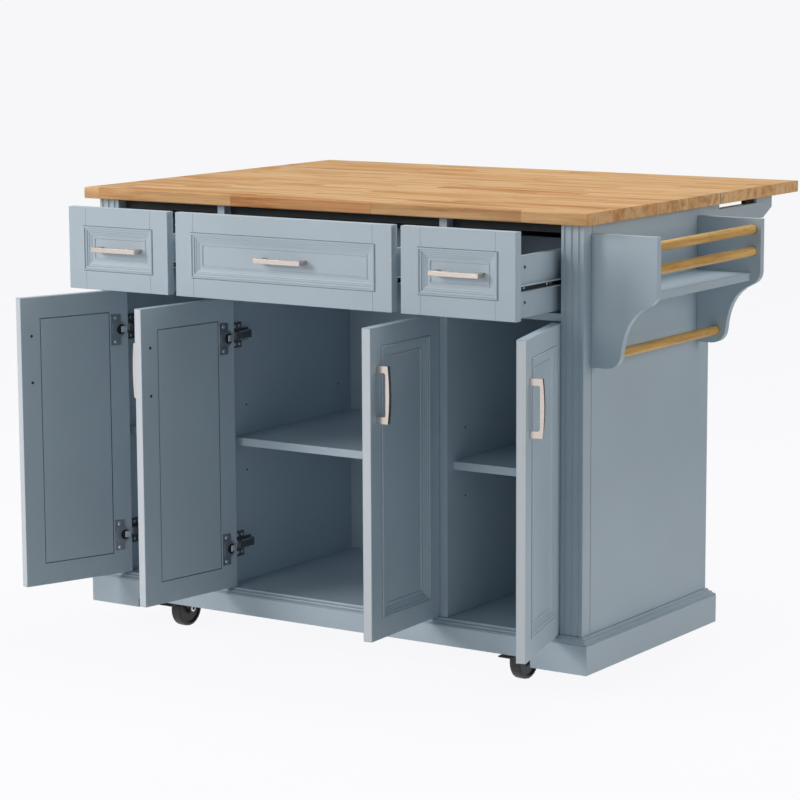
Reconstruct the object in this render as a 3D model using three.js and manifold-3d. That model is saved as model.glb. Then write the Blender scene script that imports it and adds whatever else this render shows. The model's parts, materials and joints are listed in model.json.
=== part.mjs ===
// Drop leaf kitchen island on casters: three drawers, four framed doors, a side rack and a raised
// rear leaf. Millimetres, +Z up, +X to the right of someone facing the doors, +Y towards the leaf.
// The pieces are drawn with the floor at z = 0 and the worktop's front edge at y = 0. The last
// lines move the whole island so that its origin is the centre of the fixed worktop's top face.
import * as THREE from 'three';
import { mergeVertices } from 'three/addons/utils/BufferGeometryUtils.js';
import Module from 'manifold-3d';

const wasm = await Module();
wasm.setup();

// ---------------------------------------------------------------- overall
const HEIGHT = 930;            // floor to worktop surface
const WORKTOP_DEPTH = 538;     // fixed part only
const WORKTOP_THICKNESS = 23;
const LEAF_DEPTH = 354;
const LEAF_JOINT_GAP = 0.5;    // between the fixed top and the leaf
const CARCASS_WIDTH = 1160;    // over the side panels
const FRONT_OVERHANG = 25;     // worktop edge to the door faces
const BACK_OVERHANG = 7;       // worktop edge to the side panels' rear edges
const SIDE_OVERHANG = 21;
const SEAT = 0.3;              // gap left between pieces that are glued or screwed together

// ---------------------------------------------------------------- carcass
const PANEL = 18;              // side panels and floor
const PARTITION = 17;
const SIDE_BAY = 255.5;        // clear width of the two side compartments
const DECK = 14.5;             // board under the drawers
const FLOOR_TOP = 118.5;
const BACK_THICKNESS = 6;
const BACK_RECESS = 53;        // hollow behind the back panel, where the leaf supports fold away
const RAIL_WIDTH = 60;         // rails under the worktop
const RAIL_DEPTH = 20;
const BOARD_SETBACK = 2;       // partitions and deck stand this far behind the door faces
const SHELF_TOP = 427;
const SHELF_THICKNESS = 16;
const SHELF_SETBACK = 23;      // behind the door faces
const SHELF_SIDE_GAP = 0.5;
const PIN_RADIUS = 2.5;
const PIN_REACH = 6;           // out of the wall
const PIN_INSET = 45;          // from the shelf's front and back edges

// ---------------------------------------------------------------- pilasters
const PILASTER_WIDTH = 49;
const PILASTER_DEPTH = 31;
const FLUTE_COUNT = 3;
const FLUTE_PITCH = 15.6;
const FLUTE_RADIUS = 3.2;
const QUIRK = 1.4;             // groove between pilaster and side panel
const LINING = 15;             // inner side behind the pilaster, which the drawers and hinges are fixed to

// ---------------------------------------------------------------- plinth and moulding
const PLINTH_BOTTOM = 51;
const PLINTH_TOP = 108;
const BACK_RAIL = 18;          // board that closes the plinth frame at the back
const PLINTH_PROJECTION = 23;  // in front of the pilasters and outside the side panels
const FOOT_WIDTH = 124;        // each end of the front plinth that reaches down to the plinth's bottom
const APRON_BOTTOM = 69;       // the raised middle of the front plinth

// ---------------------------------------------------------------- fronts
const FRONT_GAP = 1.5;
const FRONT_THICKNESS = 19;
const STILE = 44;
const DRAWER_DROP = 3;         // top of the drawer fronts below the worktop
const DRAWER_HEIGHT = 166;
const PANEL_SINK = 7;          // face of the frame to face of the panel
const MOULDING_WIDTH = 20;     // inside the frame
const BEAD_WIDTH = 6;          // outer bead of the moulding, which laps onto the frame
const BEAD_RISE = 2.5;
const GROOVE_WIDTH = 1.8;      // round the panel on the doors' backs
const GROOVE_DEPTH = 1.6;
const WIDEST_ANGLE = 110;      // the hinges open no further
const DOOR_ANGLES = [110, 98.5, 92.5, 106];   // degrees open, as built, from left to right

// ---------------------------------------------------------------- drawers
const DRAWER_PULL = 162;       // how far the drawers stand open, as built
const BOX_HEIGHT = 115;
const BOX_LIFT = 3;            // box bottom above the front's bottom edge
const BOX_WALL = 12;
const BOX_LENGTH = 360;
const BOX_BOTTOM = 6;
const BOX_BOTTOM_LIFT = 10;
const SLIDE_HEIGHT = 17;
const SLIDE_WIDTH = 12.7;
const SLIDE_LENGTH = 350;
const SLIDE_LIFT = 47;         // slide's lower edge above the box's bottom
const SLIDE_SHEET = 1.6;
const SLIDE_PLAY = 0.5;

// ---------------------------------------------------------------- handles
const HANDLE_LENGTH = 110;
const HANDLE_WIDTH = 9;
const HANDLE_BAR = 5;          // thickness at the posts
const HANDLE_BOW = 3;          // more in the middle, on the outer side only
const HANDLE_REACH = 28;
const HANDLE_POST = 13;
const DOOR_HANDLE_DROP = 127;  // handle centre below the door's top edge
const DOOR_HANDLE_EDGE = 24;   // handle centre to the door's free edge

// ---------------------------------------------------------------- concealed hinges
const HINGE_INSET = 82;        // from the door's top and bottom edges
const CUP_RADIUS = 17.5;
const CUP_DEPTH = 11;
const CUP_EDGE = 5;            // cup to the door's hinged edge
const FLANGE_HEIGHT = 64;
const FLANGE_WIDTH = 24;
const FLANGE_THICKNESS = 1.2;
const PLATE_LENGTH = 52;
const PLATE_HEIGHT = 52;
const PLATE_THICKNESS = 2.4;
const PLATE_SETBACK = 3;       // behind the closed door's back
const ARM_WIDTH = 17;
const ARM_RISE = 13;
const LINK_THICKNESS = 1.8;    // steel strip from the arm to the pivot pin
const LINK_HEIGHT = 13;
const LINK_ROOM = 0.35;
const PIVOT_IN = 2;            // pivot pin from the door's hinged edge
const PIVOT_DEPTH = 2.2;       // pivot pin behind the door's face
const PIVOT_RADIUS = 1.2;
const PIVOT_LENGTH = 25;

// ---------------------------------------------------------------- leaf hinges and supports
const LEAF_HINGE_DROP = 3.8;   // pin centre below the worktop's underside
const KNUCKLE_RADIUS = 3.5;
const KNUCKLE_ROOM = 0.8;
const HINGE_PIN_RADIUS = 1.7;
const HINGE_END_GAP = 39;      // end of the long strip hinge to a leaf support's middle
const HINGE_FLAP = 32;
const HINGE_SHEET = 1.6;
const KNUCKLE_COUNT = 15;
const SUPPORT_INSET = 13;      // support's middle to the side panel's inner face
const SUPPORT_THICKNESS = 18;
const SUPPORT_PIVOT_BACK = 6.5;   // pivot in front of the leaf's pin
const SUPPORT_PIVOT_DROP = 8.3;   // pivot below the worktop's underside
const SUPPORT_PIN = 3;
const SUPPORT_LENGTH = 318;    // from the leaf joint
const SUPPORT_HEIGHT = 51;
const SUPPORT_NOSE = 31;       // upright end of the support
const SUPPORT_CHAMFER = 40;
const NOTCH_START = 78;        // from the leaf joint
const NOTCH_END = 246;
const NOTCH_DEPTH = 18;
const BUFFER_LENGTH = 34;
const BUFFER_WIDTH = 12;
const BUFFER_END_GAP = 6;
const SUPPORT_CLEARANCE = 0.6;

// ---------------------------------------------------------------- side rack
const RACK_REACH = 140;
const RACK_DROP = 19;          // below the worktop
const RACK_HEIGHT = 253;
const RACK_END = 15;
const RACK_FRONT = 53;         // front end panel's front face
const RACK_BACK_INSET = 52;    // back end panel's front face to the side panel's rear edge
const RACK_SHELF_LIFT = 145;   // shelf's top above the rack's bottom
const RACK_SHELF_THICKNESS = 15;
const RACK_SHELF_REACH = 118;
const RAIL_RADIUS = 9.5;
const UPPER_RAIL = [122, 232];    // out from the side panel, up from the rack's bottom
const MIDDLE_RAIL = [122, 188.5];
const TOWEL_RAIL = [42, 26];
const RAIL_TENON = 8;

// ---------------------------------------------------------------- casters
const CASTER_INSET = 162;      // swivel centre to the side panel's outer face
const CASTER_SHIFT = -9;       // the casters are all screwed on a little to the left
const CASTER_SETBACK = 127;    // swivel centre from the worktop's front and rear edges
const CASTER_PLATE = 64;
const PLATE_SHEET = 2.3;
const WHEEL_RADIUS = 38;
const WHEEL_WIDTH = 26;
const WHEEL_TRAIL = 30;
const FORK_SHEET = 2.5;
const FORK_CLEARANCE = 1;
const BEARING_RADIUS = 20;
const BEARING_HEIGHT = 8;
const AXLE_RADIUS = 4;
const PEDAL_LENGTH = 33;       // brake pedal, past the tyre
const PEDAL_SHEET = 3;
const PEDAL_HEIGHT = 55;

// ---------------------------------------------------------------- worked out from the above
const UNDERSIDE = HEIGHT - WORKTOP_THICKNESS;
const DRAWER_TOP = UNDERSIDE - DRAWER_DROP;
const DRAWER_BOTTOM = DRAWER_TOP - DRAWER_HEIGHT;
const DECK_TOP = DRAWER_BOTTOM - FRONT_GAP;
const DOOR_TOP = DECK_TOP - DECK - 2 * FRONT_GAP;
const DOOR_BOTTOM = FLOOR_TOP + FRONT_GAP;
const SIDE_X = CARCASS_WIDTH / 2;
const INNER_X = SIDE_X - PANEL;
const SUPPORT_CENTRE = INNER_X - SUPPORT_INSET;
const CASTER_X = SIDE_X - CASTER_INSET;
const HINGE_LENGTH = 2 * (SUPPORT_CENTRE - HINGE_END_GAP);
const FLOOR_UNDERSIDE = FLOOR_TOP - PANEL - SEAT;
const OPENING_X = SIDE_X - PILASTER_WIDTH;
const FRONT_Y = FRONT_OVERHANG;
const BOARD_Y = FRONT_Y + BOARD_SETBACK;
const BACK_Y = WORKTOP_DEPTH - BACK_OVERHANG;
const BACK_PANEL_Y = BACK_Y - BACK_RECESS - BACK_THICKNESS;
const PILASTER_BACK = FRONT_Y + PILASTER_DEPTH;
const PLINTH_THICKNESS = PLINTH_PROJECTION - SEAT;
const PLINTH_X = SIDE_X + PLINTH_PROJECTION;
const PLINTH_Y = FRONT_Y - PLINTH_PROJECTION;
const PLINTH_BACK_Y = BACK_Y + BACK_OVERHANG / 2;
const LEAF_Y = WORKTOP_DEPTH;
const PIN_Z = UNDERSIDE - LEAF_HINGE_DROP;
const PARTITION_OUT = OPENING_X - SIDE_BAY;
const PARTITION_IN = PARTITION_OUT - PARTITION;
const BAYS = {
  left: [-OPENING_X, -PARTITION_OUT],
  middle: [-PARTITION_IN, PARTITION_IN],
  right: [PARTITION_OUT, OPENING_X],
};
const LAP_Y = (BOARD_Y + BACK_PANEL_Y) / 2;   // partitions and deck are halved together here
const SLIDE_Z = DRAWER_BOTTOM + BOX_LIFT + SLIDE_LIFT;
const RACK_TOP = UNDERSIDE - RACK_DROP;
const RACK_BOTTOM = RACK_TOP - RACK_HEIGHT;
const RACK_SHELF_TOP = RACK_BOTTOM + RACK_SHELF_LIFT;
const RACK_BACK = BACK_Y - RACK_BACK_INSET;

// ---------------------------------------------------------------- materials
function finish(color, roughness, metalness = 0) {
  return () => new THREE.MeshStandardMaterial({ color, roughness, metalness });
}
const paint = finish(0x8e9baa, 0.5);
const oak = finish(0xc99a62, 0.55);
const dowelWood = finish(0xcf9748, 0.5);
const nickel = finish(0xb7b2a8, 0.3, 1);
const blackSteel = finish(0x17181a, 0.4, 0.7);
const blackPlastic = finish(0x131313, 0.55);

// ---------------------------------------------------------------- geometry helpers
function box(x0, x1, y0, y1, z0, z1) {
  const geometry = new THREE.BoxGeometry(x1 - x0, y1 - y0, z1 - z0);
  return geometry.translate((x0 + x1) / 2, (y0 + y1) / 2, (z0 + z1) / 2);
}

function extruded(outline, depth) {
  return new THREE.ExtrudeGeometry(outline, { depth, bevelEnabled: false, curveSegments: 8 });
}

// An outline in (y, z), extruded from x0 to x1.
function alongX(outline, x0, x1) {
  const geometry = extruded(outline, x1 - x0);
  return geometry.rotateX(Math.PI / 2).rotateZ(Math.PI / 2).translate(x0, 0, 0);
}

// An outline in (x, z), extruded from y0 to y1.
function alongY(outline, y0, y1) {
  const geometry = extruded(outline, y1 - y0);
  return geometry.rotateX(Math.PI / 2).translate(0, y1, 0);
}

// An outline in (x, y), extruded from z0 to z1.
function alongZ(outline, z0, z1) {
  return extruded(outline, z1 - z0).translate(0, 0, z0);
}

function meshed(points, faces) {
  const geometry = new THREE.BufferGeometry();
  geometry.setAttribute('position', new THREE.Float32BufferAttribute(points, 3));
  geometry.setIndex(new THREE.Uint32BufferAttribute(faces, 1));
  return geometry;
}

function outline(points) {
  return new THREE.Shape(points.map(([x, y]) => new THREE.Vector2(x, y)));
}

function rodX(radius, x0, x1, y, z, sides = 24) {
  const geometry = new THREE.CylinderGeometry(radius, radius, x1 - x0, sides);
  return geometry.rotateZ(Math.PI / 2).translate((x0 + x1) / 2, y, z);
}

function rodY(radius, y0, y1, x, z, sides = 24) {
  const geometry = new THREE.CylinderGeometry(radius, radius, y1 - y0, sides);
  return geometry.translate(x, (y0 + y1) / 2, z);
}

function rodZ(radius, z0, z1, x, y, sides = 24) {
  const geometry = new THREE.CylinderGeometry(radius, radius, z1 - z0, sides);
  return geometry.rotateX(Math.PI / 2).translate(x, y, (z0 + z1) / 2);
}

// Rectangular rings [x0, x1, z0, z1, y], each joined to the next, closed at both ends.
function ringLoft(rings) {
  const points = [];
  const faces = [];
  for (const [x0, x1, z0, z1, y] of rings) {
    points.push([x0, y, z0], [x1, y, z0], [x1, y, z1], [x0, y, z1]);
  }
  for (let r = 0; r + 1 < rings.length; r++) {
    for (let c = 0; c < 4; c++) {
      const a = r * 4 + c;
      const b = r * 4 + (c + 1) % 4;
      faces.push(a, b + 4, b, a, a + 4, b + 4);
    }
  }
  const last = (rings.length - 1) * 4;
  faces.push(0, 1, 2, 0, 2, 3, last, last + 2, last + 1, last, last + 3, last + 2);
  return meshed(points.flat(), faces);
}

function toSolid(geometry) {
  const bare = geometry.clone();
  bare.deleteAttribute('normal');
  bare.deleteAttribute('uv');
  const merged = mergeVertices(bare, 1e-4);
  const mesh = new wasm.Mesh({
    numProp: 3,
    vertProperties: new Float32Array(merged.attributes.position.array),
    triVerts: new Uint32Array(merged.index.array),
  });
  return new wasm.Manifold(mesh);
}

function toGeometry(solid) {
  const { vertProperties, triVerts } = solid.getMesh();
  return meshed(vertProperties, triVerts);
}

function cut(base, ...tools) {
  let solid = toSolid(base);
  for (const tool of tools) solid = solid.subtract(toSolid(tool));
  return toGeometry(solid);
}

function join(first, ...others) {
  let solid = toSolid(first);
  for (const other of others) solid = solid.add(toSolid(other));
  return toGeometry(solid);
}

function mirrored(geometry) {
  const copy = geometry.clone().scale(-1, 1, 1);
  const index = copy.index ? copy.index.array : null;
  if (index) {
    for (let i = 0; i < index.length; i += 3) [index[i], index[i + 1]] = [index[i + 1], index[i]];
    return copy;
  }
  const merged = mergeVertices(copy);
  return mirrored(merged.scale(-1, 1, 1));
}

const island = new THREE.Group();

function place(name, geometry, material, parent = island) {
  const shape = geometry.clone();
  shape.computeVertexNormals();
  const mesh = new THREE.Mesh(shape, material());
  mesh.name = name;
  parent.add(mesh);
  return mesh;
}

// ---------------------------------------------------------------- worktop and carcass
const EDGE_EASE = 2;
function squareBackBoard(x0, x1, y0, y1, z0, z1) {
  const e = EDGE_EASE;
  return alongX(outline([
    [y0, z0 + e], [y0 + e, z0], [y1, z0], [y1, z1], [y0 + e, z1], [y0, z1 - e],
  ]), x0, x1);
}

function squareFrontBoard(x0, x1, y0, y1, z0, z1) {
  const e = EDGE_EASE;
  return alongX(outline([
    [y0, z0], [y1 - e, z0], [y1, z0 + e], [y1, z1 - e], [y1 - e, z1], [y0, z1],
  ]), x0, x1);
}

const halfWidth = SIDE_X + SIDE_OVERHANG;
const leafFront = LEAF_Y + LEAF_JOINT_GAP / 2;
place('worktop', squareBackBoard(
  -halfWidth, halfWidth, 0, LEAF_Y - LEAF_JOINT_GAP / 2, UNDERSIDE, HEIGHT,
), oak);

function dropLeaf() {
  const board = squareFrontBoard(-halfWidth, halfWidth, leafFront, LEAF_Y + LEAF_DEPTH, UNDERSIDE, HEIGHT);
  const end = LEAF_Y + NOTCH_END - BUFFER_END_GAP;
  const buffer = box(
    SUPPORT_CENTRE - BUFFER_WIDTH / 2, SUPPORT_CENTRE + BUFFER_WIDTH / 2, end - BUFFER_LENGTH, end,
    UNDERSIDE - NOTCH_DEPTH + SUPPORT_CLEARANCE, UNDERSIDE + EDGE_EASE,
  );
  return join(board, buffer, mirrored(buffer));
}
place('drop_leaf', dropLeaf(), oak);

const wallTop = UNDERSIDE - SEAT;
const wallBottom = FLOOR_TOP + SEAT;
const sidePanel = box(INNER_X, SIDE_X, PILASTER_BACK + SEAT, BACK_Y, wallBottom, wallTop);
place('side_panel_right', sidePanel, paint);
place('side_panel_left', mirrored(sidePanel), paint);

// Each flute is half a coarse cylinder, run out at both ends.
function pilaster() {
  const body = box(OPENING_X, SIDE_X, FRONT_Y, PILASTER_BACK, wallBottom, wallTop);
  const centre = (OPENING_X + SIDE_X) / 2;
  const flutes = [];
  for (let i = 0; i < FLUTE_COUNT; i++) {
    const x = centre + (i - (FLUTE_COUNT - 1) / 2) * FLUTE_PITCH;
    flutes.push(rodZ(FLUTE_RADIUS, wallBottom - 1, wallTop + 1, x, FRONT_Y - 0.4, 12));
  }
  const quirk = box(
    SIDE_X - QUIRK, SIDE_X + 1, PILASTER_BACK - QUIRK, PILASTER_BACK + 1, wallBottom - 1, wallTop + 1,
  );
  return cut(body, ...flutes, quirk);
}
const deckBottom = DECK_TOP - DECK;
const shelfBottom = SHELF_TOP - SHELF_THICKNESS;
const shelfFront = FRONT_Y + SHELF_SETBACK;
const shelfBack = BACK_PANEL_Y - 2;
const pinZ = shelfBottom - SEAT - PIN_RADIUS;
const bayNames = Object.keys(BAYS);

// A C-shaped steel channel, its web on x0 or x1, open towards the other.
function channel(x0, x1, y0, y1, z0, z1, webAtX0) {
  const s = SLIDE_SHEET;
  const hollow = webAtX0
    ? box(x0 + s, x1 + 1, y0 - 1, y1 + 1, z0 + s, z1 - s)
    : box(x0 - 1, x1 - s, y0 - 1, y1 + 1, z0 + s, z1 - s);
  return cut(box(x0, x1, y0, y1, z0, z1), hollow);
}

// What is screwed to a wall at x = 0 and stands out towards +x: a drawer slide and two shelf pins.
const trackFront = FRONT_Y + FRONT_THICKNESS + 2;
function wallFittings() {
  const pins = [shelfFront + PIN_INSET, shelfBack - PIN_INSET].map(
    (y) => rodX(PIN_RADIUS, -1, PIN_REACH, y, pinZ, 8),
  );
  const web = box(-1, SLIDE_SHEET, trackFront, trackFront + SLIDE_LENGTH, SLIDE_Z, SLIDE_Z + SLIDE_HEIGHT);
  const track = channel(
    0, SLIDE_WIDTH - SLIDE_SHEET - SLIDE_PLAY, trackFront, trackFront + SLIDE_LENGTH,
    SLIDE_Z, SLIDE_Z + SLIDE_HEIGHT, true,
  );
  return [join(web, track), ...pins];
}

// Mounting plate and arm of a concealed hinge on the same kind of wall. A link runs from the arm to
// the pivot pin, which turns in the door.
const pivotX = FRONT_GAP + PIVOT_IN;
const doorPivotY = FRONT_Y + PIVOT_DEPTH;
function hingeArm(z) {
  const y0 = FRONT_Y + FRONT_THICKNESS + PLATE_SETBACK;
  const halfPlate = PLATE_HEIGHT / 2;
  const plate = box(-1, PLATE_THICKNESS, y0, y0 + PLATE_LENGTH, z - halfPlate, z + halfPlate);
  const room = ARM_WIDTH / 2 + 4;
  const shoulders = [[room, halfPlate + 1], [-halfPlate - 1, -room]].map(([low, high]) => box(
    0, PLATE_THICKNESS + 1, y0 + PLATE_LENGTH * 0.55, y0 + PLATE_LENGTH + 1, z + low, z + high,
  ));
  const arm = alongZ(outline([
    [1, y0 + 1], [ARM_RISE - 4, y0 + 1], [ARM_RISE, y0 + 8], [ARM_RISE, y0 + PLATE_LENGTH - 8],
    [ARM_RISE - 4, y0 + PLATE_LENGTH - 1], [1, y0 + PLATE_LENGTH - 1],
  ]), z - ARM_WIDTH / 2, z + ARM_WIDTH / 2);
  const link = box(
    pivotX - LINK_THICKNESS / 2, pivotX + LINK_THICKNESS / 2, doorPivotY, y0 + 3,
    z - LINK_HEIGHT / 2, z + LINK_HEIGHT / 2,
  );
  const pin = rodZ(PIVOT_RADIUS, z - PIVOT_LENGTH / 2, z + PIVOT_LENGTH / 2, pivotX, doorPivotY, 12);
  return join(cut(plate, ...shoulders), arm, link, pin);
}
const hingeHeights = [DOOR_TOP - HINGE_INSET, DOOR_BOTTOM + HINGE_INSET];
const hingeArms = hingeHeights.map(hingeArm);
const fittings = wallFittings();
const moved = (geometry, x) => geometry.clone().translate(x, 0, 0);
const facingLeft = (geometries) => geometries.map(mirrored);

// The pilaster with the inner side glued behind it, in one frame.
function endFrame() {
  const lining = box(
    OPENING_X, OPENING_X + LINING, PILASTER_BACK - 1, BACK_PANEL_Y - SEAT, wallBottom, wallTop,
  );
  const fixed = facingLeft([...fittings, ...hingeArms]).map((geometry) => moved(geometry, OPENING_X));
  return join(pilaster(), lining, ...fixed);
}
const rightFrame = endFrame();
place('end_frame_right', rightFrame, paint);
place('end_frame_left', mirrored(rightFrame), paint);

// Rails joined in one frame under the worktop. The partitions are notched round them.
const railRows = [BOARD_Y + FRONT_THICKNESS + 4, BACK_PANEL_Y - SEAT - RAIL_WIDTH];
const railBottom = wallTop - RAIL_DEPTH;
function topFrame() {
  const end = OPENING_X - SEAT;
  const rails = railRows.map((y) => box(-end, end, y, y + RAIL_WIDTH, railBottom, wallTop));
  const cleats = [[-end, -end + RAIL_WIDTH / 2], [end - RAIL_WIDTH / 2, end]].map(
    ([x0, x1]) => box(x0, x1, railRows[0] + 1, railRows[1] + 1, railBottom, wallTop),
  );
  return join(rails[0], rails[1], ...cleats);
}
place('top_frame', topFrame(), paint);

// The right partition, slotted from the front where it is halved over the drawer deck.
function partition() {
  const x0 = PARTITION_IN;
  const x1 = PARTITION_OUT;
  const body = box(x0, x1, BOARD_Y, BACK_PANEL_Y - SEAT, wallBottom, wallTop);
  const lap = box(x0 - 1, x1 + 1, BOARD_Y - 1, LAP_Y + SEAT, deckBottom - SEAT, DECK_TOP + SEAT);
  const notches = railRows.map((y) => box(
    x0 - 1, x1 + 1, y - SEAT, y + RAIL_WIDTH + 1, railBottom - SEAT, wallTop + 1,
  ));
  const outer = fittings.map((geometry) => moved(geometry, x1));
  const inner = facingLeft([...fittings, ...hingeArms]).map((geometry) => moved(geometry, x0));
  return join(cut(body, lap, ...notches), ...outer, ...inner);
}
const rightPartition = partition();
place('partition_right', rightPartition, paint);
place('partition_left', mirrored(rightPartition), paint);

function drawerDeck() {
  const end = OPENING_X - SEAT;
  const board = box(-end, end, BOARD_Y, BACK_PANEL_Y - SEAT, deckBottom, DECK_TOP);
  const slot = box(
    PARTITION_IN - SEAT, PARTITION_OUT + SEAT, LAP_Y, BACK_PANEL_Y + 1, deckBottom - 1, DECK_TOP + 1,
  );
  return cut(board, slot, mirrored(slot));
}
place('drawer_deck', drawerDeck(), paint);
place('floor_panel', box(-SIDE_X, SIDE_X, FRONT_Y, BACK_Y, FLOOR_TOP - PANEL, FLOOR_TOP), paint);
place('back_panel', box(
  -INNER_X + SEAT, INNER_X - SEAT, BACK_PANEL_Y, BACK_PANEL_Y + BACK_THICKNESS, wallBottom, wallTop,
), paint);

for (const bay of bayNames) {
  const [x0, x1] = BAYS[bay];
  place(`shelf_${bay}`, box(
    x0 + SHELF_SIDE_GAP, x1 - SHELF_SIDE_GAP, shelfFront, shelfBack, shelfBottom, SHELF_TOP,
  ), paint);
}

// ---------------------------------------------------------------- plinth
function frontPlinth() {
  const inner = PLINTH_X - FOOT_WIDTH;
  const board = outline([
    [-PLINTH_X, PLINTH_BOTTOM], [-inner, PLINTH_BOTTOM], [-inner, APRON_BOTTOM], [inner, APRON_BOTTOM],
    [inner, PLINTH_BOTTOM], [PLINTH_X, PLINTH_BOTTOM], [PLINTH_X, PLINTH_TOP], [-PLINTH_X, PLINTH_TOP],
  ]);
  return alongY(board, PLINTH_Y, PLINTH_Y + PLINTH_THICKNESS);
}
function plinth() {
  const side = box(
    PLINTH_X - PLINTH_THICKNESS, PLINTH_X, PLINTH_Y + 1, PLINTH_BACK_Y, PLINTH_BOTTOM, PLINTH_TOP,
  );
  const inner = PLINTH_X - PLINTH_THICKNESS + 1;
  const back = box(
    -inner, inner, PLINTH_BACK_Y - BACK_RAIL, PLINTH_BACK_Y, APRON_BOTTOM, FLOOR_UNDERSIDE,
  );
  return join(frontPlinth(), side, mirrored(side), back);
}
place('plinth', plinth(), paint);

// Two coves with fillets, from the plinth's outer top edge up to the carcass. Out is measured from
// the carcass, so the front and side runs meet in mitres.
function mouldingProfile() {
  const top = FLOOR_TOP;
  const out = PLINTH_PROJECTION;
  const low = PLINTH_TOP + SEAT;
  const points = [[SEAT, top], [4, top]];
  for (let i = 1; i <= 3; i++) {
    const t = (i / 4) * Math.PI / 2;
    points.push([4 + 7 * (1 - Math.cos(t)), top - 4.5 * Math.sin(t)]);
  }
  points.push([11, top - 4.5], [13, top - 4.5]);
  for (let i = 1; i <= 3; i++) {
    const t = (i / 4) * Math.PI / 2;
    points.push([13 + 8.5 * (1 - Math.cos(t)), top - 4.5 - 4 * Math.sin(t)]);
  }
  points.push([out - 1.5, top - 8.5], [out - 1.5, low], [SEAT, low]);
  return points;
}

// The profile is carried round the two front corners: each profile point becomes a line that turns
// at (side + out, front - out).
function moulding() {
  const profile = mouldingProfile();
  const stations = [
    (out) => [-SIDE_X - out, PLINTH_BACK_Y],
    (out) => [-SIDE_X - out, FRONT_Y - out],
    (out) => [SIDE_X + out, FRONT_Y - out],
    (out) => [SIDE_X + out, PLINTH_BACK_Y],
  ];
  const count = profile.length;
  const points = stations.flatMap((at) => profile.map(([out, z]) => [...at(out), z]));
  const faces = [];
  for (let s = 0; s + 1 < stations.length; s++) {
    for (let i = 0; i < count; i++) {
      const a = s * count + i;
      const b = s * count + (i + 1) % count;
      faces.push(a, b, b + count, a, b + count, a + count);
    }
  }
  const flat = profile.map(([x, y]) => new THREE.Vector2(x, y));
  const caps = THREE.ShapeUtils.triangulateShape(flat, []);
  const end = (stations.length - 1) * count;
  for (const [a, b, c] of caps) {
    faces.push(a, b, c);
    faces.push(end + a, end + c, end + b);
  }
  return meshed(points.flat(), faces);
}
place('plinth_moulding', moulding(), paint);

// ---------------------------------------------------------------- side rack
function rackEnd() {
  const out = SIDE_X + RACK_REACH;
  const start = SIDE_X + SEAT;
  const shape = new THREE.Shape();
  shape.moveTo(start, RACK_TOP);
  shape.lineTo(start, RACK_BOTTOM);
  shape.lineTo(start + 34, RACK_BOTTOM);
  shape.quadraticCurveTo(start + 60, RACK_BOTTOM + 2, start + 64, RACK_BOTTOM + 27);
  shape.bezierCurveTo(
    start + 67, RACK_BOTTOM + 62, start + 78, RACK_BOTTOM + 104, out - 18, RACK_BOTTOM + 122,
  );
  shape.quadraticCurveTo(out - 1, RACK_BOTTOM + 130, out, RACK_BOTTOM + 148);
  shape.lineTo(out, RACK_TOP);
  return shape;
}

function rackRail([out, up]) {
  const y0 = RACK_FRONT + RACK_END - RAIL_TENON + SEAT;
  const y1 = RACK_BACK + RAIL_TENON - SEAT;
  return rodY(RAIL_RADIUS, y0, y1, SIDE_X + out, RACK_BOTTOM + up, 20);
}

function rackEndPanel(y) {
  const y0 = RACK_FRONT + RACK_END - RAIL_TENON;
  const sockets = [UPPER_RAIL, MIDDLE_RAIL, TOWEL_RAIL].map(([out, up]) => rodY(
    RAIL_RADIUS + SEAT, y0, RACK_BACK + RAIL_TENON, SIDE_X + out, RACK_BOTTOM + up, 20,
  ));
  return cut(alongY(rackEnd(), y, y + RACK_END), ...sockets);
}
place('rack_end_front', rackEndPanel(RACK_FRONT), paint);
place('rack_end_back', rackEndPanel(RACK_BACK), paint);
place('rack_shelf', box(
  SIDE_X + SEAT, SIDE_X + RACK_SHELF_REACH, RACK_FRONT + RACK_END + SEAT, RACK_BACK - SEAT,
  RACK_SHELF_TOP - RACK_SHELF_THICKNESS, RACK_SHELF_TOP,
), paint);
place('rack_rail_upper', rackRail(UPPER_RAIL), dowelWood);
place('rack_rail_lower', rackRail(MIDDLE_RAIL), dowelWood);
place('towel_rail', rackRail(TOWEL_RAIL), dowelWood);

// ---------------------------------------------------------------- framed fronts
// Inset from the inner edge of the frame, and depth below its face, from the outer bead, which
// stands proud, down to the panel.
const FRAME_STEPS = [
  [-2.4, -BEAD_RISE], [-1.6, -0.4], [2.2, 0.2], [2.8, 2], [6, 2.4], [6.6, 3.4], [9.5, 4.2], [13, 6],
  [15.5, 6.2], [16, 5.2], [MOULDING_WIDTH - 1.5, 5.2], [MOULDING_WIDTH, PANEL_SINK],
];

// A board in the xz plane with its face at y = 0 and its back at FRONT_THICKNESS. The panel in the
// middle is sunk in a mitred moulding.
function framedFront(x0, x1, z0, z1) {
  const rim = [x0 + STILE, x1 - STILE, z0 + STILE, z1 - STILE];
  const ring = (inset, y) => [rim[0] + inset, rim[1] - inset, rim[2] + inset, rim[3] - inset, y];
  const sunk = ringLoft([
    ring(-2.4, -BEAD_RISE - 1), ...FRAME_STEPS.map(([inset, depth]) => ring(inset, depth)),
  ]);
  const bead = ringLoft([
    ring(2 - BEAD_WIDTH, -BEAD_RISE), ring(0.5 - BEAD_WIDTH, 0.9 - BEAD_RISE),
    ring(-BEAD_WIDTH, 1.8 - BEAD_RISE), ring(-BEAD_WIDTH, 1),
  ]);
  const e = 0.8;
  const body = ringLoft([
    [x0 + e, x1 - e, z0 + e, z1 - e, 0], [x0, x1, z0, z1, e], [x0, x1, z0, z1, FRONT_THICKNESS],
  ]);
  return cut(join(body, bead), sunk);
}

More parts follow.
